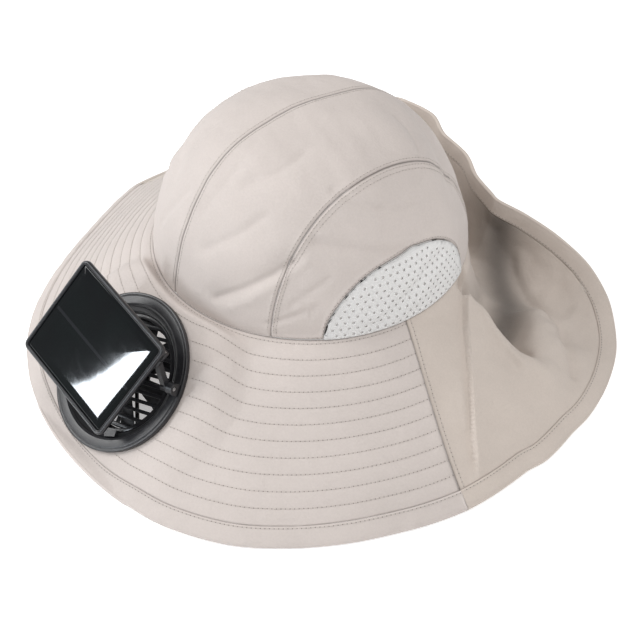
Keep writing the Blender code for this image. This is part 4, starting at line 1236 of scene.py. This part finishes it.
def mesh_vent(name, side):
    """One vent: knitted mesh with real holes, tucked under the panel's curved edge."""
    vent = bpy.context.scene.sun_hat_vent
    length = math.radians(VENT_REAR - VENT_FRONT) * CROWN_RADIUS
    flat, faces = vent_cells(length, VENT_HEIGHT, vent.pitch, vent.row, vent.hole)
    along = np.clip(flat[:, 0], 0.0003, length - 0.0003)
    angle = VENT_FRONT + np.degrees(along / CROWN_RADIUS)
    top = np.maximum(vent_top(angle) * CROWN_HEIGHT - SEAM_GAP, 0.0)
    up = np.clip(flat[:, 1], 0.0, top)
    points = crease_crown(dome_points(side * angle, up / CROWN_HEIGHT))
    middle = np.array((0.0, 0.0, SEAM_RISE + CROWN_HEIGHT / 3))
    outward = points - middle
    outward /= np.linalg.norm(outward, axis=1, keepdims=True)
    edge = np.minimum(top - up, up)
    crease, _ = away_from(np.stack((along, up, 0 * up), axis=-1),
                          [np.array((0.030, 0.004, 0)), np.array((0.066, 0.024, 0)),
                           np.array((0.083, 0.028, 0))])
    relief = -0.0011 * np.exp(-((crease / 0.0050) ** 2))
    relief += 0.0006 * np.exp(-(((crease - 0.0060) / 0.0040) ** 2))
    relief += 0.00010 * np.sin(flat[:, 1] * math.tau / vent.row)
    relief += 0.00025 * ripple(points, 0.020, 11) - 0.0003
    points = points + outward * (relief * smooth_step(edge / 0.004))[:, None]
    # Painted shade along the vent's top edge, where it tucks under the crown panel
    dark = np.exp(-((np.abs(top - up) / 0.0006) ** 2)) * 0.8
    if side > 0:
        faces = [face[::-1] for face in faces]
    obj = add_piece(f"{name}_mesh", points + CROWN_MIDDLE, faces, "hat",
                    [finish_of("knitted mesh")], [name], flat, seam=dark)
    add_wall(obj, vent.cloth)


class SUNHAT_OT_vents(bpy.types.Operator):
    """Two mesh vents with real holes"""

    bl_idname = "sunhat.vents"
    bl_label = "Mesh vents"

    def execute(self, context):
        mesh_vent("vent_left", 1)
        mesh_vent("vent_right", -1)
        return {"FINISHED"}


def brim_angles():
    return np.linspace(-FLAP_SEAM_ANGLE, FLAP_SEAM_ANGLE, 301)


def flap_angles():
    """Columns of the flap, closer together where its folds are."""
    return np.interp(np.linspace(0, 1, 345), (0, 0.42, 0.72, 1),
                     (FLAP_SEAM_ANGLE, 132, 190, 360 - FLAP_SEAM_ANGLE))


def row_distances(total):
    """Distances of the brim's stitch rows from the crown seam, for each column's length."""
    return [FIRST_ROW + (total - FIRST_ROW) * row / STITCH_ROWS for row in range(STITCH_ROWS)]


class SUNHAT_OT_brim(bpy.types.Operator):
    """Quilted brim with its stitched rings and the hole for the fan"""

    bl_idname = "sunhat.brim"
    bl_label = "Brim"

    def execute(self, context):
        cloth = context.scene.sun_hat_cloth
        angles = brim_angles()
        shares = np.linspace(0, 1, 97)
        points = skirt_grid(brim_sections, angles, shares, 0.0, -(HEM_WIDTH + SEAM_GAP))
        run = lengths(points)
        points, pressed = press_to_seat(points)
        total = run[:, -1]
        pitch = ((total - FIRST_ROW) / STITCH_ROWS)[:, None]
        phase = (run - FIRST_ROW) / pitch
        puff = np.abs(np.sin(np.pi * phase)) ** 0.7
        relief = cloth.puff * (puff - 0.8)
        around = np.radians(angles)[:, None] * np.hypot(points[..., 0], points[..., 1])
        wave = np.sin(math.tau * around / 0.0065 + 2.0 * ripple(points, 0.03, 21))
        relief += 0.00007 * wave * (1 - puff)
        relief += 0.00030 * ripple(points, 0.055, 22) * (1 - pressed)
        relief *= smooth_step(run / 0.003) * smooth_step((run[:, -1:] - run) / 0.002)
        along = lengths(points.transpose(1, 0, 2)).T
        to_side = np.minimum(along, along[-1:] - along)
        dip, dark = seam_dip(to_side)
        dip_crown, dark_crown = seam_dip(run)
        relief = relief - dip - dip_crown * 0.7
        points = relieve(points, relief * (1 - 0.7 * pressed))
        seat, left, up_slope, _ = fan_seat()
        middles = (points[:-1, :-1] + points[1:, 1:]) / 2 - seat
        keep = np.hypot(middles @ left, middles @ up_slope) > SLEEVE_RADIUS + 0.0022
        grid_map = np.stack((around, run), axis=-1)
        add_cloth("brim", points, finish_of("brim cloth"), cloth.brim_cloth, keep=keep,
                  cloth_map=grid_map, seam=np.maximum(dark, 0.8 * dark_crown), run=run)
        return {"FINISHED"}


def spots(line):
    """Flat points of a line of (angle, radius in millimetres)."""
    return [np.array((radius * math.sin(math.radians(angle)),
                      -radius * math.cos(math.radians(angle)), 0.0)) / 1000.0
            for angle, radius in line]


def flap_relief(points):
    """Height of the flap's sharp folds at the points of its grid."""
    flat = points * (1.0, 1.0, 0.0)
    relief = np.zeros(points.shape[:-1])
    for line, width, height in FLAP_STEPS:
        away, side = away_from(flat, spots(line))
        up = np.exp(-away / width) * smooth_step(away / 0.0005)
        low = -0.35 * np.exp(-away / (width * 0.3))
        relief += height * np.where(side > 0, up, low)
    for line, width, height in FLAP_RIDGES:
        away, _ = away_from(flat, spots(line))
        relief += height * np.exp(-((away / width) ** 2))
    relief += 0.0007 * ripple(points, 0.040, 31) + 0.00025 * ripple(points, 0.017, 32)
    return relief


class SUNHAT_OT_flap(bpy.types.Operator):
    """Neck flap with its pleat and folds"""

    bl_idname = "sunhat.flap"
    bl_label = "Neck flap"

    def execute(self, context):
        cloth = context.scene.sun_hat_cloth
        shares = np.linspace(0, 1, 105)
        points = skirt_grid(flap_sections, flap_angles(), shares, 0.0,
                            -(HEM_WIDTH + SEAM_GAP))
        run = lengths(points)
        along = lengths(points.transpose(1, 0, 2)).T
        to_side = np.minimum(along, along[-1:] - along)
        dip, dark = seam_dip(to_side)
        dip_crown, dark_crown = seam_dip(run)
        relief = flap_relief(points)
        relief *= smooth_step(run / 0.008) * smooth_step((run[:, -1:] - run) / 0.012)
        relief *= smooth_step(to_side / 0.006)
        points = relieve(points, relief - dip - dip_crown * 0.7)
        points[..., 2] = np.maximum(points[..., 2], cloth.flap_cloth + 0.0002)
        # Painted shade: the cloth along the deep fold behind the crown is darkened through the
        # seam attribute
        line, width, strength = FLAP_FOLD_PAINTED_SHADE
        away, _ = away_from(points * (1.0, 1.0, 0.0), spots(line))
        painted_fold_shade = strength * np.exp(-((away / width) ** 2))
        grid_map = np.stack((along[:, -1:] + 0 * run, run), axis=-1)
        add_cloth("neck_flap", points, finish_of("flap cloth"), cloth.flap_cloth,
                  cloth_map=grid_map,
                  seam=np.maximum(np.maximum(dark, 0.8 * dark_crown), painted_fold_shade))
        return {"FINISHED"}


def hem_band(name, sections, angles, finish):
    """The folded edge of a cloth: a band that wraps round the hem's edge."""
    shares = np.array((0, 0.02, 0.06, 0.12, 0.3, 0.5, 0.7, 0.84, 0.88, 0.93, 0.98, 1.0))
    lifts = np.array((0.0, 0.35, 0.5, 0.5, 0.55, 0.6, 0.5, 0.45, 0.30, 0.50, 0.25, -0.3))
    points = skirt_grid(sections, angles, shares, -HEM_WIDTH, 0.0)
    if sections is brim_sections:
        points, _ = press_to_seat(points)
    normal = grid_normals(points)
    edge = points[:, -1]
    out = points[:, -1] - points[:, -2]
    out /= np.maximum(np.linalg.norm(out, axis=1, keepdims=True), 1e-9)
    top = points + normal * (lifts * 0.001)[None, :, None]
    top += normal * (0.00010 * ripple(points, 0.012, 41))[..., None]
    round_edge = np.stack((edge + out * 0.0003 - normal[:, -1] * 0.0008,
                           edge + out * 0.0002 - normal[:, -1] * 0.0015,
                           edge - out * 0.0004 - normal[:, -1] * 0.0021), axis=1)
    under = points[:, ::-1][:, 1:] - normal[:, ::-1][:, 1:] * 0.0022
    ring = np.concatenate((top, round_edge, under), axis=1)
    ring[..., 2] = np.maximum(ring[..., 2], 0.0)
    rows, columns = ring.shape[:2]
    faces = grid_faces(rows, columns)
    for row in range(rows - 1):
        near, far = row * columns, (row + 1) * columns
        faces.append((near + columns - 1, near, far, far + columns - 1))
    faces.append(tuple(range(columns)))
    faces.append(tuple(reversed(range((rows - 1) * columns, rows * columns))))
    along = lengths(points.transpose(1, 0, 2)).T
    run = lengths(ring)
    grid_map = np.stack((along[:, -1:] + 0 * run, run), axis=-1)
    # Painted shade on the band's two inner edges, where it meets the cloth below
    fold = np.zeros((rows, columns))
    fold[:, 0] = fold[:, -1] = 0.35
    obj = add_piece(f"{name}_band", ring + CROWN_MIDDLE, faces, "hat", [finish], [name],
                    grid_map, seam=fold)
    CLOTHS[name] = (top, normal, lengths(top))
    return obj


class SUNHAT_OT_hems(bpy.types.Operator):
    """Folded hem of the brim and of the flap"""

    bl_idname = "sunhat.hems"
    bl_label = "Hems"

    def execute(self, context):
        brim = hem_band("brim_hem", brim_sections, brim_angles(), finish_of("brim cloth"))
        flap = hem_band("flap_hem", flap_sections, flap_angles(), finish_of("flap cloth"))
        return {"FINISHED"}


def clear_of_ring(points, normals, reach):
    """The stretches of a line that lie outside the ring."""
    seat, left, up_slope, _ = fan_seat()
    offset = points - seat
    free = np.hypot(offset @ left, offset @ up_slope) > reach
    pieces, start = [], None
    for index in range(len(points) + 1):
        here = index < len(points) and free[index]
        if here and start is None:
            start = index
        if not here and start is not None:
            pieces.append((points[start:index], normals[start:index]))
            start = None
    return pieces


class SUNHAT_OT_stitches(bpy.types.Operator):
    """Stitch rows of the brim, the hems and the seams"""

    bl_idname = "sunhat.stitches"
    bl_label = "Stitches"

    def execute(self, context):
        cloth = context.scene.sun_hat_cloth
        finishes = [finish_of("sewing thread"), finish_of("needle hole shade")]
        total = CLOTHS["brim"][2][:, -1]
        lines = []
        for distance in row_distances(total):
            line = line_across("brim", distance)
            lines += clear_of_ring(*line, RING_RADIUS - 0.001)
        add_stitches("brim_stitches", lines, finishes, cloth.stitch, cloth.thread)
        lines = [line_across("brim_hem", 0.0015), line_across("flap_hem", 0.0015)]
        lines = clear_of_ring(*lines[0], RING_RADIUS - 0.001) + [lines[1]]
        add_stitches("hem_stitches", lines, finishes, cloth.stitch, cloth.thread)
        lines = []
        for side in ("left", "right"):
            for away in (0.0020, 0.0045):
                lines.append(line_across(f"crown_lower_{side}", away, rows=range(8, 162)))
            lines.append(line_across(f"crown_upper_{side}", 0.0020, True, rows=range(8, 162)))
            lines.append(line_across(f"crown_upper_{side}", 0.0022, rows=range(8, 162)))
            lines.append(line_across(f"crown_lower_{side}", 0.0018, True,
                                     rows=range(30, 140)))
        add_stitches("crown_stitches", lines, finishes,
                     cloth.stitch, cloth.thread * 0.8)
        lines = [line_across("neck_flap", 0.0030, swap=True),
                 line_across("neck_flap", 0.0030, True, swap=True)]
        add_stitches("flap_stitches", lines, finishes, cloth.stitch,
                     cloth.thread)
        return {"FINISHED"}


# Fan


def fan_levels(brim_cloth=0.0020):
    """Heights in the ring's frame, whose zero is the top of the ring."""
    seat = -RING_THICKNESS
    under_brim = seat - FIT - max(brim_cloth, HEM_CLOTH) - FIT
    clamp = under_brim - CLAMP_THICKNESS
    return seat, under_brim, clamp, clamp - BOWL_DEPTH


class SUNHAT_OT_fan_ring(bpy.types.Operator):
    """Clamp ring with its sleeve and the slotted intake grille"""

    bl_idname = "sunhat.fan_ring"
    bl_label = "Fan ring and grille"

    def execute(self, context):
        seat, _, _, _ = fan_levels()
        band = RING_RADIUS - RING_BAND
        inside = SLEEVE_RADIUS - SLEEVE_WALL
        profile = [
            (RING_RADIUS, 0.0), (RING_RADIUS, seat), (SLEEVE_RADIUS, seat),
            (SLEEVE_RADIUS, -SLEEVE_DEPTH), (inside, -SLEEVE_DEPTH), (inside, -DISH_DEPTH),
            (inside + 0.0010, -DISH_DEPTH + 0.0004), (band - 0.0012, -0.0016),
            (band - 0.0008, -0.0008), (band, -0.0004), (band + 0.0004, 0.0),
            (RING_RADIUS - 0.0022, 0.0), (RING_RADIUS - 0.0018, -0.00025),
            (RING_RADIUS - 0.0014, 0.0),
        ]
        points, faces = lathe(rounded(profile, 0.0005, 3), 176)
        tab = [(-0.0045, -0.0022), (0.0045, -0.0022), (0.0036, 0.0012), (-0.0036, 0.0012)]
        block, sides = prism(tab, -0.0030, -0.0006)
        quarter = np.array(((0, -1, 0), (1, 0, 0), (0, 0, 1.0)))
        block = (block @ quarter + (band - 0.0030, 0, 0)) @ turned(math.radians(TAB_TURN))
        points, faces = joined([(points, faces), (block, sides)])
        add_piece("fan_ring_moulding", place_in_ring(points), faces, "hat",
                  [finish_of("satin plastic")], ["fan_ring"], sharp=40)
        self.grille()
        return {"FINISHED"}

    def grille(self):
        """Bars between the slots, inside a rim and round a solid middle."""
        top = -DISH_DEPTH
        low = top - GRILLE_THICKNESS
        edge = SLEEVE_RADIUS - SLEEVE_WALL - FIT
        rim = rounded([(edge, top), (edge, low), (SLOT_RADIUS, low), (SLOT_RADIUS, top)],
                      0.0004, 2)
        parts = [lathe(rim, 128)]
        boss = [(BOSS_RADIUS, top), (BOSS_RADIUS, low), (0.0002, low), (0.0002, top)]
        parts.append(lathe(rounded(boss, 0.0004, 2), 64))
        spin = turned(math.radians(SLOT_TURN))
        bar = SLOT_PITCH - SLOT_WIDTH
        count = int((SLOT_RADIUS - SLOT_WIDTH) / SLOT_PITCH) + 1
        for index in range(-count, count):
            offset = (index + 0.5) * SLOT_PITCH
            if abs(offset) > SLOT_RADIUS:
                continue
            reach = math.sqrt(SLOT_RADIUS**2 - offset**2) + 0.0006
            section = rounded([(-bar / 2, low), (bar / 2, low), (bar / 2, top),
                               (-bar / 2, top)], 0.00035, 2)
            points = np.array([[(x, offset + y, z) for y, z in section]
                               for x in (-reach, 0.0, reach)])
            faces = loops_to_faces(3, len(section), False, False)
            parts.append((points.reshape(-1, 3) @ spin, faces))
        points, faces = joined(parts)
        add_piece("fan_grille_bars", place_in_ring(points), faces, "hat",
                  [finish_of("satin plastic")], ["fan_grille"], sharp=40)


def blade(steps=14, chord_steps=10):
    """One twisted blade with a rounded section, about the rotor's axis."""
    rings = []
    for share in np.linspace(0, 1, steps):
        radius = HUB_RADIUS - 0.0012 + (BLADE_RADIUS - HUB_RADIUS + 0.0012) * share
        chord = 0.0068 + (0.0142 - 0.0068) * math.sin(share * math.pi * 0.62)
        pitch = math.radians(30 - 12 * share)
        section = []
        for turn in np.linspace(0, math.tau, 2 * chord_steps + 1)[:-1]:
            along = math.cos(turn) * chord / 2
            thick = math.sin(turn) * 0.00055 * (1 - 0.35 * share)
            camber = 0.0009 * (1 - (2 * along / chord) ** 2)
            section.append((along, thick + camber))
        sweep = 0.0022 * share**2
        rings.append([(radius, (a + sweep) * math.cos(pitch) - t * math.sin(pitch),
                       (a + sweep) * math.sin(pitch) + t * math.cos(pitch))
                      for a, t in section])
    return np.array(rings).reshape(-1, 3), loops_to_faces(steps, len(rings[0]))


class SUNHAT_OT_fan_parts(bpy.types.Operator):
    """Bowl, outlet guard, motor and rotor"""

    bl_idname = "sunhat.fan_parts"
    bl_label = "Fan bowl and rotor"

    def execute(self, context):
        _, under_brim, clamp, bowl = fan_levels()
        inner = SLEEVE_RADIUS + FIT
        outer = inner + BOWL_WALL
        foot = outer - BOWL_TAPER
        mouth = foot - BOWL_WALL - GUARD_SEAT
        shelf = bowl + GUARD_THICKNESS + FIT
        profile = [
            (CLAMP_RADIUS, under_brim), (CLAMP_RADIUS, clamp), (outer + 0.0012, clamp),
            (outer, clamp - 0.0012), (outer, -SLEEVE_DEPTH - FIT), (foot, bowl),
            (mouth, bowl), (mouth, shelf), (foot - BOWL_WALL, shelf),
            (inner, -SLEEVE_DEPTH - FIT), (inner, under_brim),
        ]
        points, faces = lathe(rounded(profile, 0.0005, 2), 144)
        add_piece("fan_bowl_moulding", place_in_ring(points), faces, "hat",
                  [finish_of("textured plastic")], ["fan_bowl"], sharp=40)
        rotor_top = -DISH_DEPTH - GRILLE_THICKNESS - FIT * 2
        hub = [(HUB_RADIUS, rotor_top), (HUB_RADIUS, rotor_top - HUB_HEIGHT),
               (HUB_RADIUS - 0.0012, rotor_top - HUB_HEIGHT),
               (HUB_RADIUS - 0.0012, rotor_top - 0.0012), (0.0002, rotor_top - 0.0012),
               (0.0002, rotor_top)]
        parts = [lathe(rounded(hub, 0.0006, 3), 64)]
        wing, sides = blade()
        for index in range(BLADES):
            spin = turned(math.tau * index / BLADES)
            parts.append(((wing @ spin) + (0, 0, rotor_top - HUB_HEIGHT / 2), sides))
        points, faces = joined(parts)
        add_piece("fan_rotor_moulding", place_in_ring(points), faces, "rotor",
                  [finish_of("textured plastic")], ["fan_rotor"], sharp=50)
        for node, kind in (("fan_guard", "textured plastic"), ("fan_motor", "plated steel")):
            soften(node, finish_of(kind))
        return {"FINISHED"}


def soften(node, finish, width=0.00025):
    """A carried-over solid with its finish and slightly rounded edges."""
    obj = bpy.data.objects[node]
    for slot in obj.material_slots:
        slot.material = finish
    if not obj.material_slots:
        obj.data.materials.append(finish)
    weld = obj.modifiers.new("weld", "WELD")
    weld.merge_threshold = 0.00001
    bevel = obj.modifiers.new("soft edges", "BEVEL")
    bevel.width = width
    bevel.segments = 2
    bevel.limit_method = "ANGLE"
    bevel.angle_limit = math.radians(35)
    bevel.harden_normals = False


class SUNHAT_OT_hinge(bpy.types.Operator):
    """Hinge post, arm and pins, with their finishes and softly rounded edges"""

    bl_idname = "sunhat.hinge"
    bl_label = "Panel hinge"

    def execute(self, context):
        soften("hinge_post", finish_of("satin plastic"), 0.0005)
        soften("panel_arm", finish_of("satin plastic"), 0.0003)
        soften("swivel_pin", finish_of("plated steel"), 0.0002)
        soften("fold_pin", finish_of("plated steel"), 0.0002)
        return {"FINISHED"}


class SUNHAT_OT_panel(bpy.types.Operator):
    """Solar panel: tray with its lip and hinge lug, and the glazed cell"""

    bl_idname = "sunhat.panel"
    bl_label = "Solar panel"

    def execute(self, context):
        axes, middle = panel_axes()
        length, width = PANEL_LENGTH, PANEL_WIDTH
        inner = 2 * PANEL_BEZEL
        rings = [
            (0.0014, -PANEL_THICKNESS), (0.0004, -PANEL_THICKNESS + 0.0003),
            (0.0, -PANEL_THICKNESS + 0.0010), (0.0, -0.0008), (0.0002, -0.0003),
            (0.0007, 0.0), (inner / 2 - 0.0012, 0.0), (inner / 2 - 0.0008, -0.00025),
            (inner / 2 - 0.0004, 0.0), (inner / 2 - 0.0001, -0.0001), (inner / 2, -0.0004),
            (inner / 2, -CELL_RECESS),
        ]
        loops = []
        for inset, height in rings:
            corner = max(PANEL_CORNER - inset, 0.0009)
            loops.append(rounded_loop(length - 2 * inset, width - 2 * inset, corner, height))
        count = len(loops[0])
        tray = (np.array(loops).reshape(-1, 3), loops_to_faces(len(loops), count))
        ribs = []
        for x in (-0.022, 0.0, 0.022):
            outline = [(x - 0.0006, -width / 2 + 0.006), (x + 0.0006, -width / 2 + 0.006),
                       (x + 0.0006, width / 2 - 0.006), (x - 0.0006, width / 2 - 0.006)]
            ribs.append(prism(outline, -PANEL_THICKNESS - 0.0006, -PANEL_THICKNESS + 0.0005))
        points, faces = joined([tray] + ribs)
        points = points @ axes + middle
        lug = frame_of(FOLD_ALONG, near=axes[2])
        start = EYE_LENGTH / 2 + FIT
        eye = [(EYE_RADIUS, start), (EYE_RADIUS, start + LUG_LENGTH),
               (0.0014, start + LUG_LENGTH), (0.0014, start)]
        barrel, sides = lathe(rounded(eye, 0.0003, 2), 40)
        sides = [side[::-1] for side in sides]
        barrel = barrel @ lug + FOLD_PLACE
        half = EYE_RADIUS * 0.85
        web = [(-half, start + 0.0004), (half, start + 0.0004),
               (half, start + LUG_LENGTH - 0.0004), (-half, start + LUG_LENGTH - 0.0004)]
        block, walls = prism(web, 0.0015, EYE_RADIUS + FIT + 0.0006)
        block = block @ axes + FOLD_PLACE
        points, faces = joined([(points, faces), (barrel, sides), (block, walls)])
        add_piece("panel_tray", points, faces, "panel",
                  [finish_of("satin plastic")], ["panel_frame"], sharp=40)
        inset = PANEL_BEZEL + 0.0001
        rings = [(0.0, -CELL_RECESS + 0.0001), (0.0, -0.0009), (0.0003, -0.0006),
                 (0.0012, -0.0004), (0.006, -0.00028), (0.016, -0.0002), (0.028, -0.00018)]
        loops = [rounded_loop(length - 2 * (inset + more), width - 2 * (inset + more),
                              max(0.0016 - more, 0.0004), height) for more, height in rings]
        count = len(loops[0])
        points = np.array(loops).reshape(-1, 3) @ axes + middle
        add_piece("glazed_cell", points, loops_to_faces(len(loops), count), "panel",
                  [finish_of("solar cell")], ["solar_cell"], sharp=60)
        return {"FINISHED"}


# Stage

CAMERA_PLACE = (0.4297, -0.2924, 0.4784)
CAMERA_RIGHT = (0.59036, 0.80714, 0.0)
CAMERA_BACK = (0.5921, -0.4331, 0.6798)
CAMERA_LENS = 61.77

# Window seen in the panel
WINDOW_PLACE = (-0.3003, -1.2482, 0.3678)
WINDOW_ALONG = (0.4933, 0.3356, 0.8025)
WINDOW_UP = (-0.8502, 0.3810, 0.3633)
WINDOW_SIZE = (0.24, 0.11)


def area_light(name, place, aim, size, power):
    data = bpy.data.lights.new(name, "AREA")
    data.shape = "RECTANGLE"
    data.size, data.size_y = size
    data.energy = power
    obj = bpy.data.objects.new(name, data)
    bpy.context.scene.collection.objects.link(obj)
    look = Vector(aim) - Vector(place)
    rotation = look.to_track_quat("-Z", "Y").to_matrix().to_4x4()
    obj.matrix_world = Matrix.Translation(place) @ rotation


class SUNHAT_OT_stage(bpy.types.Operator):
    """Pale floor, soft lights and the camera"""

    bl_idname = "sunhat.stage"
    bl_label = "Stage"

    def execute(self, context):
        self.floor(context)
        self.world(context)
        self.camera(context)
        context.scene.view_settings.view_transform = "Standard"
        area_light("key softbox", (-1.05, -1.22, 1.38), (0, 0, 0.05), (0.9, 0.9), 19.5)
        area_light("overhead softbox", (0.5, 0.0, 1.9), (0, 0, 0.05), (1.8, 1.8), 19)
        area_light("side softbox", (1.5, 0.5, 1.1), (0, 0, 0.05), (1.0, 1.0), 7)
        area_light("low softbox", (-0.863, -1.268, 0.738), (0, -0.13, 0.04), (0.34, 0.34),
                   2.2)
        self.panel_light()
        return {"FINISHED"}

    def floor(self, context):
        material, tree, shader = new_material("pale floor")
        place = new_node(tree, "ShaderNodeTexCoord").outputs["Object"]
        cloud = noise(tree, place, 1.5, 2.0)
        base = mix_colour(tree, cloud, (0.90, 0.90, 0.90, 1.0), (0.92, 0.92, 0.92, 1.0))
        feed(tree, shader, "Base Color", base)
        shader.inputs["Emission Color"].default_value = (1.0, 1.0, 1.0, 1.0)
        shader.inputs["Emission Strength"].default_value = 0.35
        shader.inputs["Roughness"].default_value = 0.7
        shader.inputs["Specular IOR Level"].default_value = 0.2
        mesh = bpy.data.meshes.new("floor")
        half = 4.0
        mesh.from_pydata([(-half, -half, 0), (half, -half, 0), (half, half, 0),
                          (-half, half, 0)], [], [(0, 1, 2, 3)])
        mesh.materials.append(material)
        floor = bpy.data.objects.new("floor", mesh)
        context.scene.collection.objects.link(floor)

    def world(self, context):
        world = bpy.data.worlds.new("soft room")
        world.use_nodes = True
        shade = world.node_tree.nodes["Background"]
        shade.inputs["Color"].default_value = (1.0, 1.0, 1.0, 1.0)
        shade.inputs["Strength"].default_value = 0.33
        context.scene.world = world

    def camera(self, context):
        data = bpy.data.cameras.new("photo view")
        data.lens = CAMERA_LENS
        data.sensor_width = 36.0
        data.sensor_fit = "HORIZONTAL"
        data.clip_start = 0.01
        camera = bpy.data.objects.new("photo view", data)
        right, back = Vector(CAMERA_RIGHT).normalized(), Vector(CAMERA_BACK).normalized()
        up = back.cross(right).normalized()
        right = up.cross(back)
        camera.matrix_world = Matrix((right, up, back)).transposed().to_4x4()
        camera.location = CAMERA_PLACE
        context.scene.collection.objects.link(camera)
        context.scene.camera = camera

    def panel_light(self):
        """A bright window low in front, seen in a corner of the panel."""
        along, up = np.array(WINDOW_ALONG), np.array(WINDOW_UP)
        data = bpy.data.lights.new("window", "AREA")
        data.shape = "RECTANGLE"
        data.size, data.size_y = WINDOW_SIZE
        data.energy = 4.2
        data.color = (0.86, 0.93, 1.0)
        window = bpy.data.objects.new("window", data)
        window.matrix_world = Matrix((along, up, np.cross(along, up))).transposed().to_4x4()
        window.location = WINDOW_PLACE
        bpy.context.scene.collection.objects.link(window)


class SUNHAT_PT_sidebar(bpy.types.Panel):
    """Sidebar with the hat's sizes, colours and steps."""

    bl_idname = "SUNHAT_PT_sidebar"
    bl_label = "Sun hat"
    bl_space_type = "VIEW_3D"
    bl_region_type = "UI"
    bl_category = "Sun hat"

    def draw(self, context):
        layout = self.layout
        for title, group in (("Cloth", context.scene.sun_hat_cloth),
                             ("Vents", context.scene.sun_hat_vent),
                             ("Fan and panel", context.scene.sun_hat_fan)):
            box = layout.box()
            box.label(text=title)
            for key in group.bl_rna.properties.keys():
                if key not in ("rna_type", "name"):
                    box.prop(group, key)
        for step in STEPS:
            layout.operator(step.bl_idname)


GROUPS = (SunHatCloth, SunHatVent, SunHatFan)
STEPS = (
    SUNHAT_OT_crown, SUNHAT_OT_vents, SUNHAT_OT_brim, SUNHAT_OT_flap, SUNHAT_OT_hems,
    SUNHAT_OT_stitches, SUNHAT_OT_fan_ring, SUNHAT_OT_fan_parts, SUNHAT_OT_hinge,
    SUNHAT_OT_panel, SUNHAT_OT_stage,
)


def register():
    for kind in (*GROUPS, *STEPS, SUNHAT_PT_sidebar):
        bpy.utils.register_class(kind)
    scene = bpy.types.Scene
    scene.sun_hat_cloth = bpy.props.PointerProperty(type=SunHatCloth)
    scene.sun_hat_vent = bpy.props.PointerProperty(type=SunHatVent)
    scene.sun_hat_fan = bpy.props.PointerProperty(type=SunHatFan)


def unregister():
    for name in ("sun_hat_cloth", "sun_hat_vent", "sun_hat_fan"):
        delattr(bpy.types.Scene, name)
    for kind in reversed((*GROUPS, *STEPS, SUNHAT_PT_sidebar)):
        bpy.utils.unregister_class(kind)


def main():
    register()
    for step in STEPS:
        getattr(bpy.ops.sunhat, step.bl_idname.split(".")[1])()


if __name__ == "__main__":
    main()
